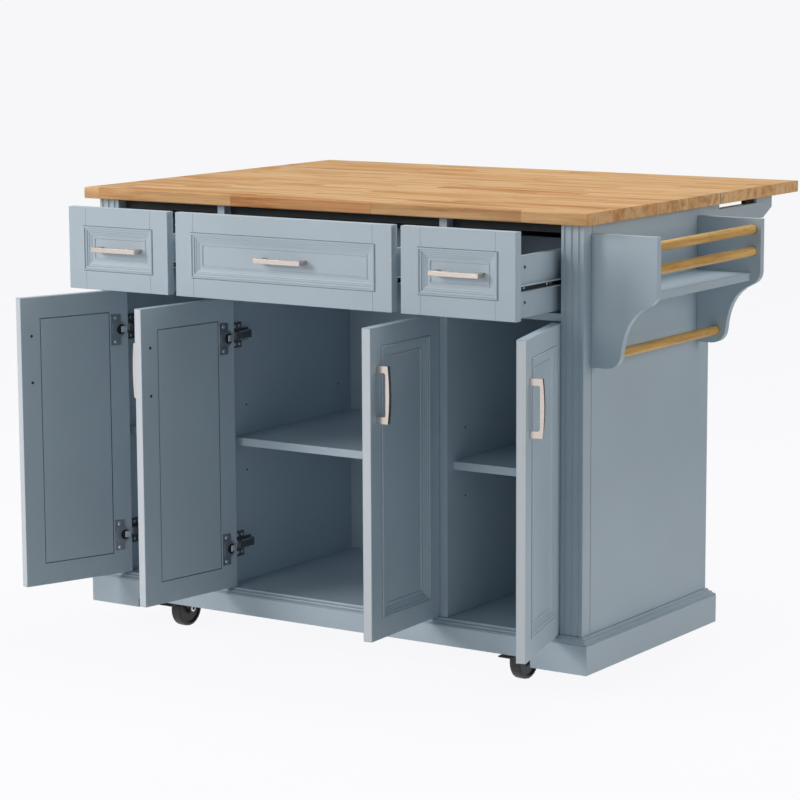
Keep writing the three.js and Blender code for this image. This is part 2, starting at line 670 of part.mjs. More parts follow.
// The groove that shows round the panel on a door's back.
function backGroove(x0, x1, z0, z1) {
  const past = FRONT_THICKNESS + 1;
  const floor = FRONT_THICKNESS - GROOVE_DEPTH;
  const slab = (inset, y) => box(x0 + inset, x1 - inset, y, past, z0 + inset, z1 - inset);
  return cut(slab(STILE, floor), slab(STILE + GROOVE_WIDTH, floor - 1));
}

// A bridge handle bent from one bar, standing off the face at y = 0 towards -y, its length on X.
function handleBar() {
  const half = HANDLE_LENGTH / 2;
  const clear = half - HANDLE_POST;
  const outer = -(HANDLE_REACH - HANDLE_BOW);
  const inner = outer + HANDLE_BAR;
  const shape = new THREE.Shape();
  shape.moveTo(-half, -SEAT);
  shape.lineTo(-half, outer + 1);
  shape.lineTo(1 - half, outer);
  shape.quadraticCurveTo(0, outer - 2 * HANDLE_BOW, half - 1, outer);
  shape.lineTo(half, outer + 1);
  shape.lineTo(half, -SEAT);
  shape.lineTo(clear, -SEAT);
  shape.lineTo(clear, inner + 3);
  shape.lineTo(clear - 3, inner);
  shape.lineTo(3 - clear, inner);
  shape.lineTo(-clear, inner + 3);
  shape.lineTo(-clear, -SEAT);
  return alongZ(shape, -HANDLE_WIDTH / 2, HANDLE_WIDTH / 2);
}

// ---------------------------------------------------------------- drawers
function drawerBox(x0, x1, y0) {
  const z0 = DRAWER_BOTTOM + BOX_LIFT;
  const z1 = z0 + BOX_HEIGHT;
  const y1 = y0 + BOX_LENGTH;
  const w = BOX_WALL;
  const floor = z0 + BOX_BOTTOM_LIFT + BOX_BOTTOM;
  const body = box(x0, x1, y0, y1, z0, z1);
  const well = box(x0 + w, x1 - w, y0 + w, y1 - w, floor, z1 + 1);
  const under = box(x0 + w, x1 - w, y0 + w, y1 - w, z0 - 1, z0 + BOX_BOTTOM_LIFT);
  return cut(body, well, under);
}

const runnerInset = SLIDE_SHEET + SLIDE_PLAY;

// The moving half of each slide is a channel that runs inside the fixed one, screwed to the box.
function drawerBody(x0, x1) {
  const y0 = FRONT_Y + FRONT_THICKNESS + SEAT;
  const wallX = [x0 + SLIDE_WIDTH + SEAT, x1 - SLIDE_WIDTH - SEAT];
  const span = [y0 + 1, y0 + SLIDE_LENGTH, SLIDE_Z + runnerInset, SLIDE_Z + SLIDE_HEIGHT - runnerInset];
  const web = SLIDE_SHEET + SEAT;
  const runners = [
    channel(x0 + runnerInset, wallX[0] - SEAT, ...span, false),
    box(wallX[0] - web, wallX[0] + 1, ...span),
    channel(wallX[1] + SEAT, x1 - runnerInset, ...span, true),
    box(wallX[1] - 1, wallX[1] + web, ...span),
  ];
  return join(drawerBox(...wallX, y0), ...runners);
}

function drawer(bay) {
  const [x0, x1] = BAYS[bay];
  const moving = new THREE.Group();
  moving.position.set(0, -DRAWER_PULL, 0);
  island.add(moving);
  const front = framedFront(x0 + FRONT_GAP, x1 - FRONT_GAP, DRAWER_BOTTOM, DRAWER_TOP);
  place(`drawer_front_${bay}`, front.translate(0, FRONT_Y, 0), paint, moving);
  place(`drawer_box_${bay}`, drawerBody(x0, x1), paint, moving);
  const middle = [(x0 + x1) / 2, FRONT_Y + PANEL_SINK, (DRAWER_TOP + DRAWER_BOTTOM) / 2];
  place(`drawer_handle_${bay}`, handleBar().translate(...middle), nickel, moving);
}
bayNames.forEach(drawer);

// ---------------------------------------------------------------- doors
// Room for a hinge's link in the door's edge, from shut to wide open, in the frame of a door whose
// hinged edge is x = 0 and whose face is y = 0.
function linkRoom(z) {
  const room = LINK_THICKNESS / 2 + LINK_ROOM;
  const slope = Math.tan(THREE.MathUtils.degToRad(WIDEST_ANGLE - 90));
  const past = 1;
  const mouth = PIVOT_DEPTH - room * 1.1 - (PIVOT_IN + past) * slope;
  const halfHeight = LINK_HEIGHT / 2 + SEAT;
  return alongZ(outline([
    [-past, mouth], [PIVOT_IN, PIVOT_DEPTH - room * 1.1], [PIVOT_IN + room, PIVOT_DEPTH - room / 2],
    [PIVOT_IN + room, FRONT_THICKNESS + past], [-past, FRONT_THICKNESS + past],
  ]), z - halfHeight, z + halfHeight);
}

// Each hinge has a flange screwed to the door's back, a cup sunk in it, a bore for the pivot pin and
// room for the link.
function doorPanel(width) {
  const back = FRONT_THICKNESS;
  const cupX = CUP_EDGE + CUP_RADIUS;
  const flangeX = cupX - CUP_EDGE + 1;
  const half = FLANGE_HEIGHT / 2;
  const boreHalf = PIVOT_LENGTH / 2 + SEAT;
  const flanges = hingeHeights.map((z) => box(
    flangeX, flangeX + FLANGE_WIDTH, back - 1, back + FLANGE_THICKNESS, z - half, z + half,
  ));
  const hollows = hingeHeights.flatMap((z) => [
    rodY(CUP_RADIUS - 1.5, back - CUP_DEPTH, back + 3, cupX, z, 20),
    rodZ(PIVOT_RADIUS + SEAT, z - boreHalf, z + boreHalf, PIVOT_IN, PIVOT_DEPTH, 12),
    linkRoom(z),
  ]);
  const panel = cut(
    framedFront(0, width, DOOR_BOTTOM, DOOR_TOP), backGroove(0, width, DOOR_BOTTOM, DOOR_TOP),
  );
  return cut(join(panel, ...flanges), ...hollows).translate(-PIVOT_IN, -PIVOT_DEPTH, 0);
}

// A door turns about its pivot pins. One that is hinged on its right is mirrored.
function door(number, edgeX, width, hingedLeft) {
  const swing = new THREE.Group();
  const inwards = hingedLeft ? 1 : -1;
  swing.position.set(edgeX + inwards * PIVOT_IN, doorPivotY, 0);
  swing.rotation.z = THREE.MathUtils.degToRad(-inwards * DOOR_ANGLES[number - 1]);
  island.add(swing);
  const face = hingedLeft ? (geometry) => geometry : mirrored;
  place(`door_${number}`, face(doorPanel(width)), paint, swing);
  const handle = handleBar().rotateY(Math.PI / 2).translate(
    width - DOOR_HANDLE_EDGE - PIVOT_IN, -PIVOT_DEPTH, DOOR_TOP - DOOR_HANDLE_DROP,
  );
  place(`door_handle_${number}`, face(handle), nickel, swing);
}

const sideDoor = BAYS.right[1] - BAYS.right[0] - 2 * FRONT_GAP;
const middleDoor = PARTITION_IN - 1.5 * FRONT_GAP;
door(1, BAYS.left[0] + FRONT_GAP, sideDoor, true);
door(2, BAYS.middle[0] + FRONT_GAP, middleDoor, true);
door(3, BAYS.middle[1] - FRONT_GAP, middleDoor, false);
door(4, BAYS.right[1] - FRONT_GAP, sideDoor, false);

// ---------------------------------------------------------------- leaf hinges and supports
const flapTop = UNDERSIDE - SEAT;
const knuckle = HINGE_LENGTH / KNUCKLE_COUNT;
const stripStart = -HINGE_LENGTH / 2;
const knuckleNumbers = Array.from({ length: KNUCKLE_COUNT }, (_, i) => i);
const onTop = knuckleNumbers.filter((i) => i % 2 === 0);
const onLeaf = knuckleNumbers.filter((i) => i % 2 === 1);

// One half of the strip hinge: its flap, cut back where the other half's knuckles turn, and its own.
function hingeStrip(y0, y1, own, others) {
  const flap = box(stripStart, -stripStart, y0, y1, flapTop - HINGE_SHEET, flapTop);
  const turning = KNUCKLE_RADIUS + KNUCKLE_ROOM;
  const room = others.map((i) => box(
    stripStart + i * knuckle - SEAT, stripStart + (i + 1) * knuckle + SEAT,
    LEAF_Y - turning, LEAF_Y + turning, flapTop - HINGE_SHEET - 1, flapTop + 1,
  ));
  const knuckles = own.map((i) => {
    const start = stripStart + i * knuckle;
    return rodX(KNUCKLE_RADIUS, start + SEAT, start + knuckle - SEAT, LEAF_Y, PIN_Z, 12);
  });
  return join(cut(flap, ...room), ...knuckles);
}
const pin = rodX(HINGE_PIN_RADIUS, stripStart, -stripStart, LEAF_Y, PIN_Z, 10);
const bore = rodX(HINGE_PIN_RADIUS + SEAT, stripStart - 1, 1 - stripStart, LEAF_Y, PIN_Z, 12);
place('leaf_hinge_fixed', join(hingeStrip(
  LEAF_Y - HINGE_FLAP, LEAF_Y - KNUCKLE_RADIUS + KNUCKLE_ROOM, onTop, onLeaf,
), pin), nickel);
place('leaf_hinge_moving', cut(hingeStrip(
  LEAF_Y + KNUCKLE_RADIUS - KNUCKLE_ROOM, LEAF_Y + HINGE_FLAP, onLeaf, onTop,
), bore), nickel);

// The support pivots just under the worktop's rear edge. Its top corner is rounded about the pin, so
// that it turns down under the worktop.
const pivotY = LEAF_Y - SUPPORT_PIVOT_BACK;
const pivotZ = UNDERSIDE - SUPPORT_PIVOT_DROP;
const supportX = [SUPPORT_CENTRE - SUPPORT_THICKNESS / 2, SUPPORT_CENTRE + SUPPORT_THICKNESS / 2];
const reach = SUPPORT_PIVOT_DROP - SUPPORT_CLEARANCE;
const supportTop = pivotZ + reach;
const supportBottom = UNDERSIDE - SUPPORT_HEIGHT;
const supportEnd = LEAF_Y + SUPPORT_LENGTH;

function leafSupport() {
  const notchFloor = UNDERSIDE - NOTCH_DEPTH;
  const shape = new THREE.Shape();
  shape.moveTo(pivotY - reach, supportBottom);
  shape.lineTo(supportEnd - SUPPORT_CHAMFER, supportBottom);
  shape.lineTo(supportEnd, UNDERSIDE - SUPPORT_NOSE);
  shape.lineTo(supportEnd, supportTop);
  shape.lineTo(LEAF_Y + NOTCH_END, supportTop);
  shape.lineTo(LEAF_Y + NOTCH_END, notchFloor);
  shape.lineTo(LEAF_Y + NOTCH_START, notchFloor);
  shape.lineTo(LEAF_Y + NOTCH_START, supportTop);
  shape.lineTo(pivotY, supportTop);
  shape.absarc(pivotY, pivotZ, reach, Math.PI / 2, Math.PI, false);
  const bore = rodX(SUPPORT_PIN + SEAT, supportX[0] - 1, supportX[1] + 1, pivotY, pivotZ, 16);
  return cut(alongX(shape, ...supportX), bore);
}
const rightSupport = leafSupport();
place('leaf_support_right', rightSupport, paint);
place('leaf_support_left', mirrored(rightSupport), paint);

function supportPivot() {
  const wall = INNER_X - SEAT;
  const plateX = supportX[1] + SEAT;
  const plate = box(plateX, wall, BACK_Y - 42, pivotY + reach, pivotZ - reach, pivotZ + reach);
  const pin = rodX(SUPPORT_PIN, supportX[0] - 1, plateX + 1, pivotY, pivotZ, 16);
  const head = rodX(SUPPORT_PIN + 2.5, supportX[0] - 3, supportX[0] - SEAT, pivotY, pivotZ, 16);
  return join(plate, pin, head);
}
const rightPivot = supportPivot();
place('support_pivot_right', rightPivot, nickel);
place('support_pivot_left', mirrored(rightPivot), nickel);

// ---------------------------------------------------------------- casters
// Swivel centres, and which way the wheels trail as built: the front pair forwards.
const casterLeft = CASTER_SHIFT - CASTER_X;
const casterRight = CASTER_SHIFT + CASTER_X;
const casterRear = WORKTOP_DEPTH - CASTER_SETBACK;
const casterSpots = {
  front_left: [casterLeft, CASTER_SETBACK, -1],
  front_right: [casterRight, CASTER_SETBACK, -1],
  back_left: [casterLeft, casterRear, 1],
  back_right: [casterRight, casterRear, 1],
};
const plateZ = [FLOOR_UNDERSIDE - PLATE_SHEET, FLOOR_UNDERSIDE];
const forkTop = plateZ[0] - BEARING_HEIGHT;
function casterPlate([x, y]) {
  const half = CASTER_PLATE / 2;
  const plate = box(x - half, x + half, y - half, y + half, ...plateZ);
  return join(plate, rodZ(BEARING_RADIUS, forkTop + SEAT, plateZ[0] + 0.5, x, y, 24));
}

const forkInner = WHEEL_WIDTH / 2 + FORK_CLEARANCE;
const forkOuter = forkInner + FORK_SHEET;

// Drawn with the swivel axis on x = y = 0, trailing towards +y. The cheeks narrow down to the axle,
// and the brake pedal sticks out behind over the tyre.
function fork() {
  const hub = 10;
  const crown = [2 - BEARING_RADIUS, BEARING_RADIUS + 8];
  const tyreEnd = WHEEL_TRAIL + WHEEL_RADIUS;
  const pedalZ = [PEDAL_HEIGHT, PEDAL_HEIGHT + PEDAL_SHEET];
  const cheek = new THREE.Shape();
  cheek.moveTo(crown[0], forkTop);
  cheek.lineTo(crown[0] + 2, forkTop - 9);
  cheek.lineTo(WHEEL_TRAIL - hub, WHEEL_RADIUS);
  cheek.absarc(WHEEL_TRAIL, WHEEL_RADIUS, hub, Math.PI, Math.PI * 2, false);
  cheek.lineTo(tyreEnd, pedalZ[0]);
  cheek.lineTo(tyreEnd + 3, pedalZ[0]);
  cheek.lineTo(tyreEnd + 3, pedalZ[1]);
  cheek.lineTo(tyreEnd - 8, pedalZ[1]);
  cheek.lineTo(crown[1], forkTop);
  const cheeks = [[-forkOuter, -forkInner], [forkInner, forkOuter]].map(
    ([x0, x1]) => alongX(cheek, x0, x1),
  );
  const top = box(-forkOuter, forkOuter, ...crown, forkTop - FORK_SHEET, forkTop);
  const pedal = box(-forkOuter, forkOuter, tyreEnd + 1, tyreEnd + PEDAL_LENGTH, ...pedalZ);
  const axle = rodX(AXLE_RADIUS, -forkOuter - 3, forkOuter + 3, WHEEL_TRAIL, WHEEL_RADIUS, 12);
  return join(top, ...cheeks, pedal, axle);
}

// A tyre with rounded shoulders and a bored hub, turned about X. The profile is (radius, x).
function wheel() {
  const half = WHEEL_WIDTH / 2;
  const rim = WHEEL_RADIUS - 8;
  const profile = [
    [AXLE_RADIUS + SEAT, -half], [12, -half], [13, -half + 3.5], [rim, -half + 3.5], [rim + 1, -half + 0.5],
    [WHEEL_RADIUS - 3, -half + 0.5], [WHEEL_RADIUS - 0.8, -half + 2.5], [WHEEL_RADIUS, -half + 6],
  ];
  const other = profile.map(([r, x]) => [r, -x]).reverse();
  const ring = [...profile, ...other, profile[0]].map(([r, x]) => new THREE.Vector2(r, x));
  return new THREE.LatheGeometry(ring, 24).rotateZ(Math.PI / 2);
}

for (const [spot, [x, y, ahead]] of Object.entries(casterSpots)) {
  place(`caster_plate_${spot}`, casterPlate([x, y]), blackSteel);
  const swivel = new THREE.Group();
  swivel.position.set(x, y, 0);
  if (ahead < 0) swivel.rotation.z = Math.PI;
  island.add(swivel);
  place(`caster_fork_${spot}`, fork(), blackSteel, swivel);
  const roll = wheel().translate(0, WHEEL_TRAIL, WHEEL_RADIUS);
  place(`caster_wheel_${spot}`, roll, blackPlastic, swivel);
}

island.position.set(0, -WORKTOP_DEPTH / 2, -HEIGHT);
export default island;
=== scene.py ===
# %% [markdown]
# # A drop leaf kitchen island
# The island is blue-grey painted wood with a laminated wood worktop. Its solids come from the packed
# model, already at their real size, with the origin at the centre of the fixed worktop's top face. They
# could all be drawn again here, but then the looks and the moving model would drift apart. So this
# lesson gives every solid a procedural finish, and adds only the small parts that are fused with the
# wood in the solids: hinges, drawer slides, screws, pads and nuts.

import json
import math

import bmesh
import bpy
from mathutils import Matrix, Vector


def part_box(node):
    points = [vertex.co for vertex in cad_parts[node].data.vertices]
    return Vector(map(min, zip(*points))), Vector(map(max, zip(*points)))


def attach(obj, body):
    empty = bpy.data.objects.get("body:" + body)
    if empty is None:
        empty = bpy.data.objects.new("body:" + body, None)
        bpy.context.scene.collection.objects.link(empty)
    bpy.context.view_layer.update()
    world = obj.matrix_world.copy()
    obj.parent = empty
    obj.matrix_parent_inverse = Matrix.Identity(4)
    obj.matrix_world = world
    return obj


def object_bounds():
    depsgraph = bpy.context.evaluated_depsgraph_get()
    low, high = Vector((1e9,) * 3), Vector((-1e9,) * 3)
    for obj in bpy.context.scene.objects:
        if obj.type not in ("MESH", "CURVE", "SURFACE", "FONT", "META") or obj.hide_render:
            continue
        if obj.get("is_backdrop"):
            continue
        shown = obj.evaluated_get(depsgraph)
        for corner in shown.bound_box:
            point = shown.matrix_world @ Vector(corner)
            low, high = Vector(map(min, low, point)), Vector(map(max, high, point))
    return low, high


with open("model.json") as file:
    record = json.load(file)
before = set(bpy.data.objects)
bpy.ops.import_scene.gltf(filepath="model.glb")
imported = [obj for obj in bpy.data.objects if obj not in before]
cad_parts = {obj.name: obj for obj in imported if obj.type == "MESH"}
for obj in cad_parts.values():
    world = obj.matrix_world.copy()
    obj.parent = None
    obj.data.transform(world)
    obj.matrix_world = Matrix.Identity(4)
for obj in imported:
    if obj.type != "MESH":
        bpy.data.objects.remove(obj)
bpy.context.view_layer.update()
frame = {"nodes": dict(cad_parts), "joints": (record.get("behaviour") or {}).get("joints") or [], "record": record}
nodes = frame["nodes"]
joints = {joint["name"]: joint for joint in frame["joints"]}
MM = 0.001
FLOOR_Z = min(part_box(f"caster_wheel_{corner}")[0].z for corner in ("front_left", "back_right"))
print(len(nodes), "solids, floor at", round(FLOOR_Z, 4))

# %% [markdown]
# The camera stands low and far to the front right, with a long lens, so the uprights stay almost
# parallel. It could be placed by eye, but the eye compares every long edge with the frame, and even a
# quarter of a degree of roll shows. So its place and angles were worked out from straight edges of known
# direction.

# %% Camera
WORKTOP_DEPTH = 0.538
WORKTOP_HEIGHT = 0.930
CAMERA_PLACE = Vector((3.2217, -4.5847 - WORKTOP_DEPTH / 2, 1.4170 - WORKTOP_HEIGHT))
CAMERA_YAW = math.radians(33.531)
CAMERA_PITCH = math.radians(-8.987)
CAMERA_ROLL = math.radians(-0.273)
FOCAL_PIXELS = 2856.1
IMAGE_WIDTH = 800
SENSOR = 36.0


def camera_axes():
    """Right, up and forward of the camera, from its yaw, pitch and roll."""
    forward = Vector((
        -math.sin(CAMERA_YAW) * math.cos(CAMERA_PITCH),
        math.cos(CAMERA_YAW) * math.cos(CAMERA_PITCH),
        math.sin(CAMERA_PITCH),
    ))
    level = Vector((math.cos(CAMERA_YAW), math.sin(CAMERA_YAW), 0))
    upright = level.cross(forward)
    right = math.cos(CAMERA_ROLL) * level + math.sin(CAMERA_ROLL) * upright
    return right, right.cross(forward), forward


camera_data = bpy.data.cameras.new("camera")
camera_data.lens = FOCAL_PIXELS / IMAGE_WIDTH * SENSOR
camera_data.sensor_width = SENSOR
camera_data.clip_end = 1000
camera = bpy.data.objects.new("camera", camera_data)
right, up, forward = camera_axes()
camera_turn = Matrix((right, up, -forward)).transposed().to_4x4()
camera.matrix_world = Matrix.Translation(CAMERA_PLACE) @ camera_turn
bpy.context.scene.collection.objects.link(camera)
bpy.context.scene.camera = camera
print("lens", round(camera_data.lens, 1), "mm")

# %% [markdown]
# A material is a small graph of nodes. Each graph could be built link by link, but three helpers keep it
# short. One adds a node and fills its sockets, with a number or with another node's output. One does a
# sum. One starts a material whose plain numbers sit on the shader's own sockets.


# %% Node helpers
def add_node(tree, kind, inputs=None, **settings):
    """Adds a node. inputs maps a socket name or number to a value or to another socket."""
    node = tree.nodes.new(kind)
    for key, value in settings.items():
        setattr(node, key, value)
    for key, value in (inputs or {}).items():
        if isinstance(value, bpy.types.NodeSocket):
            tree.links.new(value, node.inputs[key])
        else:
            node.inputs[key].default_value = value
    return node


def math_node(tree, operation, first, second=0.0):
    return add_node(tree, "ShaderNodeMath", {0: first, 1: second}, operation=operation).outputs[0]


def start_material(name, roughness, metallic=0.0, specular=0.5):
    material = bpy.data.materials.new(name)
    material.use_nodes = True
    tree = material.node_tree
    shader = tree.nodes["Principled BSDF"]
    shader.inputs["Roughness"].default_value = roughness
    shader.inputs["Metallic"].default_value = metallic
    shader.inputs["Specular IOR Level"].default_value = specular
    return material, tree, shader


print("node helpers ready")

# %% [markdown]
# Every finish is a noise turned into colours. Object coordinates are real metres here, so a noise keeps
# its size on every piece, and a stretched point turns its blots into grain or scratches.


# %% Texture helpers
def stretched(tree, vector, scale):
    """The point with each axis scaled by itself."""
    return add_node(tree, "ShaderNodeMapping", {"Vector": vector, "Scale": scale}).outputs["Vector"]


def object_point(tree, scale=(1, 1, 1)):
    return stretched(tree, add_node(tree, "ShaderNodeTexCoord").outputs["Object"], scale)


def noise(tree, vector, scale, detail=3.0, rough=0.5):
    inputs = {"Vector": vector, "Scale": scale, "Detail": detail, "Roughness": rough}
    return add_node(tree, "ShaderNodeTexNoise", inputs).outputs["Fac"]


def ramp(tree, factor, stops):
    """A colour ramp from (position, colour) pairs."""
    node = add_node(tree, "ShaderNodeValToRGB", {"Fac": factor})
    elements = node.color_ramp.elements
    while len(elements) < len(stops):
        elements.new(0.5)
    for element, (position, color) in zip(elements, stops):
        element.position = position
        element.color = (*color, 1)
    return node.outputs["Color"]


def mix_color(tree, kind, factor, first, second):
    node = add_node(tree, "ShaderNodeMix", {"Factor": factor}, data_type="RGBA", blend_type=kind)
    for socket, value in ((node.inputs[6], first), (node.inputs[7], second)):
        if isinstance(value, bpy.types.NodeSocket):
            tree.links.new(value, socket)
        else:
            socket.default_value = (*value, 1)
    return node.outputs[2]


def grey(value):
    return (value, value, value)


print("texture helpers ready")

# %% [markdown]
# Two touches make a surface real. Its roughness is never even, so a noise moves it between two values.
# Its edges are never sharp: a Bevel node rounds the shading there, which catches a thin light line. The
# edges could be cut round in the mesh, but the solids stay as they are.


# %% Surface helpers
def vary_roughness(tree, shader, factor, low, high):
    rough = add_node(tree, "ShaderNodeMapRange", {"Value": factor, "To Min": low, "To Max": high})
    tree.links.new(rough.outputs[0], shader.inputs["Roughness"])


def bump_surface(tree, shader, height, strength, distance, edge=None):
    """Bumps the surface by a height. edge is the radius of the rounded shading at edges."""
    inputs = {"Strength": strength, "Distance": distance, "Height": height}
    if edge is not None:
        inputs["Normal"] = add_node(tree, "ShaderNodeBevel", {"Radius": edge}, samples=4).outputs[0]
    bump = add_node(tree, "ShaderNodeBump", inputs)
    tree.links.new(bump.outputs[0], shader.inputs["Normal"])


print("surface helpers ready")

# %% [markdown]
# The paint is a sprayed satin coat on flat board. One flat colour would look like paper. Real paint has
# a very fine orange-peel skin close up, and over a whole panel its tone drifts a little.

# %% Satin paint
PAINT_COLOR = (0.435, 0.540, 0.618)
PAINT_EDGE = 1.1 * MM


def satin_paint(name, color, drift=0.05):
    material, tree, shader = start_material(name, 0.42, specular=0.42)
    point = object_point(tree)
    cloud = noise(tree, point, 2.6, 4.0, 0.55)
    low = tuple(channel * (1 - drift) for channel in color)
    high = tuple(min(1.0, channel * (1 + drift)) for channel in color)
    tone = ramp(tree, cloud, [(0.3, low), (0.7, high)])
    tree.links.new(tone, shader.inputs["Base Color"])
    vary_roughness(tree, shader, noise(tree, point, 14.0, 5.0), 0.36, 0.5)
    peel = noise(tree, point, 620.0, 2.0)
    bump_surface(tree, shader, peel, 0.06, 0.4 * MM, PAINT_EDGE)
    return material


paint = satin_paint("satin_paint", PAINT_COLOR)
print("paint", paint.name)

# %% [markdown]
# ## Laminated wood
# The worktop is glued up from narrow staves, each a short length of pale or reddish wood with its own
# figure. Every stave could be a box of its own, but then the solid would have to be cut up. A pattern
# does it: a stave is a cell of a grid, its row from Y, its column from X, with each row pushed along by
# a random amount. White noise on the cell's numbers gives the stave its tone.

# %% Staves
STAVE_WIDTH = 43 * MM
STAVE_LENGTH = 340 * MM
HONEY = (0.77, 0.475, 0.235)
PALE = (0.82, 0.555, 0.310)
RUSSET = (0.71, 0.370, 0.170)
STAVE_TONES = [(0.0, PALE), (0.35, HONEY), (0.55, PALE), (0.72, HONEY), (0.95, RUSSET)]


def stave_cells(tree, place):
    """Row and column of the stave at a point, and how far across and along the staves it lies."""
    parts = add_node(tree, "ShaderNodeSeparateXYZ", {"Vector": place}).outputs
    across = math_node(tree, "DIVIDE", parts["Y"], STAVE_WIDTH)
    row = math_node(tree, "FLOOR", across)
    push = add_node(tree, "ShaderNodeTexWhiteNoise", {"W": row}, noise_dimensions="1D").outputs["Value"]
    along = math_node(tree, "ADD", math_node(tree, "DIVIDE", parts["X"], STAVE_LENGTH), push)
    column = math_node(tree, "FLOOR", along)
    return row, column, across, along


def stave_chance(tree, row, column):
    """A random value and a random colour for each stave."""
    cell = add_node(tree, "ShaderNodeCombineXYZ", {"X": row, "Y": column}).outputs[0]
    return add_node(tree, "ShaderNodeTexWhiteNoise", {"Vector": cell}, noise_dimensions="3D").outputs


print("staves", STAVE_WIDTH, "by", STAVE_LENGTH)

# %% [markdown]
# Three noises, stretched along the stave, draw its grain: a broad figure, fine pores and a few reddish
# streaks. Each stave reads them at a place of its own, moved by its random colour, so the grain breaks
# at each glue line as it does in real boards.

# %% Grain
STREAK = (0.48, 0.215, 0.090)
FIGURE_STOPS = [(0.30, (0.70, 0.58, 0.47)), (0.50, grey(1.0)), (0.75, (1.10, 1.12, 1.10))]
PORE_STOPS = [(0.3, (0.74, 0.66, 0.58)), (0.5, grey(1.0)), (1.0, grey(1.05))]


def stave_place(tree, place, chance):
    """The point, moved by the stave's own random amount."""
    shift = add_node(tree, "ShaderNodeVectorMath", {0: chance["Color"], 1: (9, 9, 9)}, operation="MULTIPLY")
    moved = {0: place, 1: shift.outputs[0]}
    return add_node(tree, "ShaderNodeVectorMath", moved, operation="ADD").outputs[0]


def grained(tree, tone, moved):
    """The tone with figure, pores and streaks, and the pores by themselves."""
    figure = noise(tree, stretched(tree, moved, (2.2, 26, 26)), 1.5, 5.0, 0.6)
    pores = noise(tree, stretched(tree, moved, (7, 260, 260)), 1.4, 4.0, 0.65)
    streaks = noise(tree, stretched(tree, moved, (1.6, 34, 34)), 1.1, 3.0, 0.5)
    color = mix_color(tree, "MULTIPLY", 1.0, tone, ramp(tree, figure, FIGURE_STOPS))
    color = mix_color(tree, "MULTIPLY", 0.75, color, ramp(tree, pores, PORE_STOPS))
    amount = add_node(tree, "ShaderNodeMapRange", {
        "Value": streaks, "From Min": 0.57, "From Max": 0.69, "To Max": 0.62,
    }).outputs[0]
    return mix_color(tree, "MIX", amount, color, STREAK), pores


print("grain ready")

# %% [markdown]
# The glue shows as a thin darker line along each stave and a thinner one at its ends. The lines could be
# strips of geometry, but the grid of the staves already holds them: they are where the distance to the
# next whole number is small. The wood is oiled and matt, so it mirrors nothing.

# %% Glue lines and the finished wood
GLUE = (0.45, 0.33, 0.24)
WOOD_EDGE = 1.5 * MM


def glue_lines(tree, across, along):
    """1 on the glue between staves, 0 elsewhere."""
    sideways = add_node(tree, "ShaderNodeMath", {0: across, 1: 0.5}, operation="PINGPONG").outputs[0]
    endways = add_node(tree, "ShaderNodeMath", {0: along, 1: 0.5}, operation="PINGPONG").outputs[0]
    line = math_node(tree, "LESS_THAN", sideways, 0.010)
    end_line = math_node(tree, "LESS_THAN", endways, 0.0013)
    return math_node(tree, "MAXIMUM", line, end_line)


def laminated_wood(name):
    material, tree, shader = start_material(name, 0.5, specular=0.0)
    place = add_node(tree, "ShaderNodeTexCoord").outputs["Object"]
    row, column, across, along = stave_cells(tree, place)
    chance = stave_chance(tree, row, column)
    tone = ramp(tree, chance["Value"], STAVE_TONES)
    color, pores = grained(tree, tone, stave_place(tree, place, chance))
    glue = math_node(tree, "MULTIPLY", glue_lines(tree, across, along), 0.35)
    color = mix_color(tree, "MULTIPLY", glue, color, GLUE)
    tree.links.new(color, shader.inputs["Base Color"])
    vary_roughness(tree, shader, pores, 0.52, 0.36)
    bump_surface(tree, shader, pores, 0.12, 0.5 * MM, WOOD_EDGE)
    return material


worktop_wood = laminated_wood("laminated_wood")
print("worktop", worktop_wood.name)

# %% [markdown]
# The rails are turned from one length of wood. They have no staves, so the worktop's pattern would look
# wrong on them: their grain simply runs along Y. They are yellower than the worktop, with short dark
# pores.

# %% Rail wood
RAIL_STOPS = [
    (0.25, (0.40, 0.200, 0.050)), (0.45, (0.62, 0.370, 0.115)), (0.62, (0.74, 0.480, 0.170)),
    (0.85, (0.80, 0.560, 0.220)),
]
FLECK_STOPS = [(0.30, (0.5, 0.38, 0.28)), (0.42, grey(1.0))]


def rail_wood(name):
    material, tree, shader = start_material(name, 0.45, specular=0.3)
    figure = noise(tree, object_point(tree, (70, 3.2, 70)), 1.3, 5.0, 0.6)
    pores = noise(tree, object_point(tree, (900, 34, 900)), 1.0, 2.0)
    tone = ramp(tree, figure, RAIL_STOPS)
    flecked = mix_color(tree, "MULTIPLY", 0.8, tone, ramp(tree, pores, FLECK_STOPS))
    tree.links.new(flecked, shader.inputs["Base Color"])
    bump_surface(tree, shader, pores, 0.1, 0.4 * MM)
    return material


dowel_wood = rail_wood("rail_wood")
print("rails", dowel_wood.name)

# %% [markdown]
# The fittings are four metals of one kind. The pulls are brushed nickel with a warm cast. The hinges
# are plated steel: dark plates and arms on the walls, greyer flanges in the doors, bright links and
# screws. One function makes them all, because they differ only in colour and polish: fine scratches
# vary the roughness and nudge the normal.

# %% Metals
METAL_EDGE = 0.6 * MM


def brushed_metal(name, color, roughness, scratch_scale):
    material, tree, shader = start_material(name, roughness, metallic=1.0)
    scratches = noise(tree, object_point(tree, scratch_scale), 1.0, 3.0)
    low = tuple(channel * 0.9 for channel in color)
    tone = ramp(tree, scratches, [(0.35, low), (0.65, color)])
    tree.links.new(tone, shader.inputs["Base Color"])
    vary_roughness(tree, shader, scratches, roughness * 0.8, roughness * 1.35)
    bump_surface(tree, shader, scratches, 0.05, 0.2 * MM, METAL_EDGE)
    return material


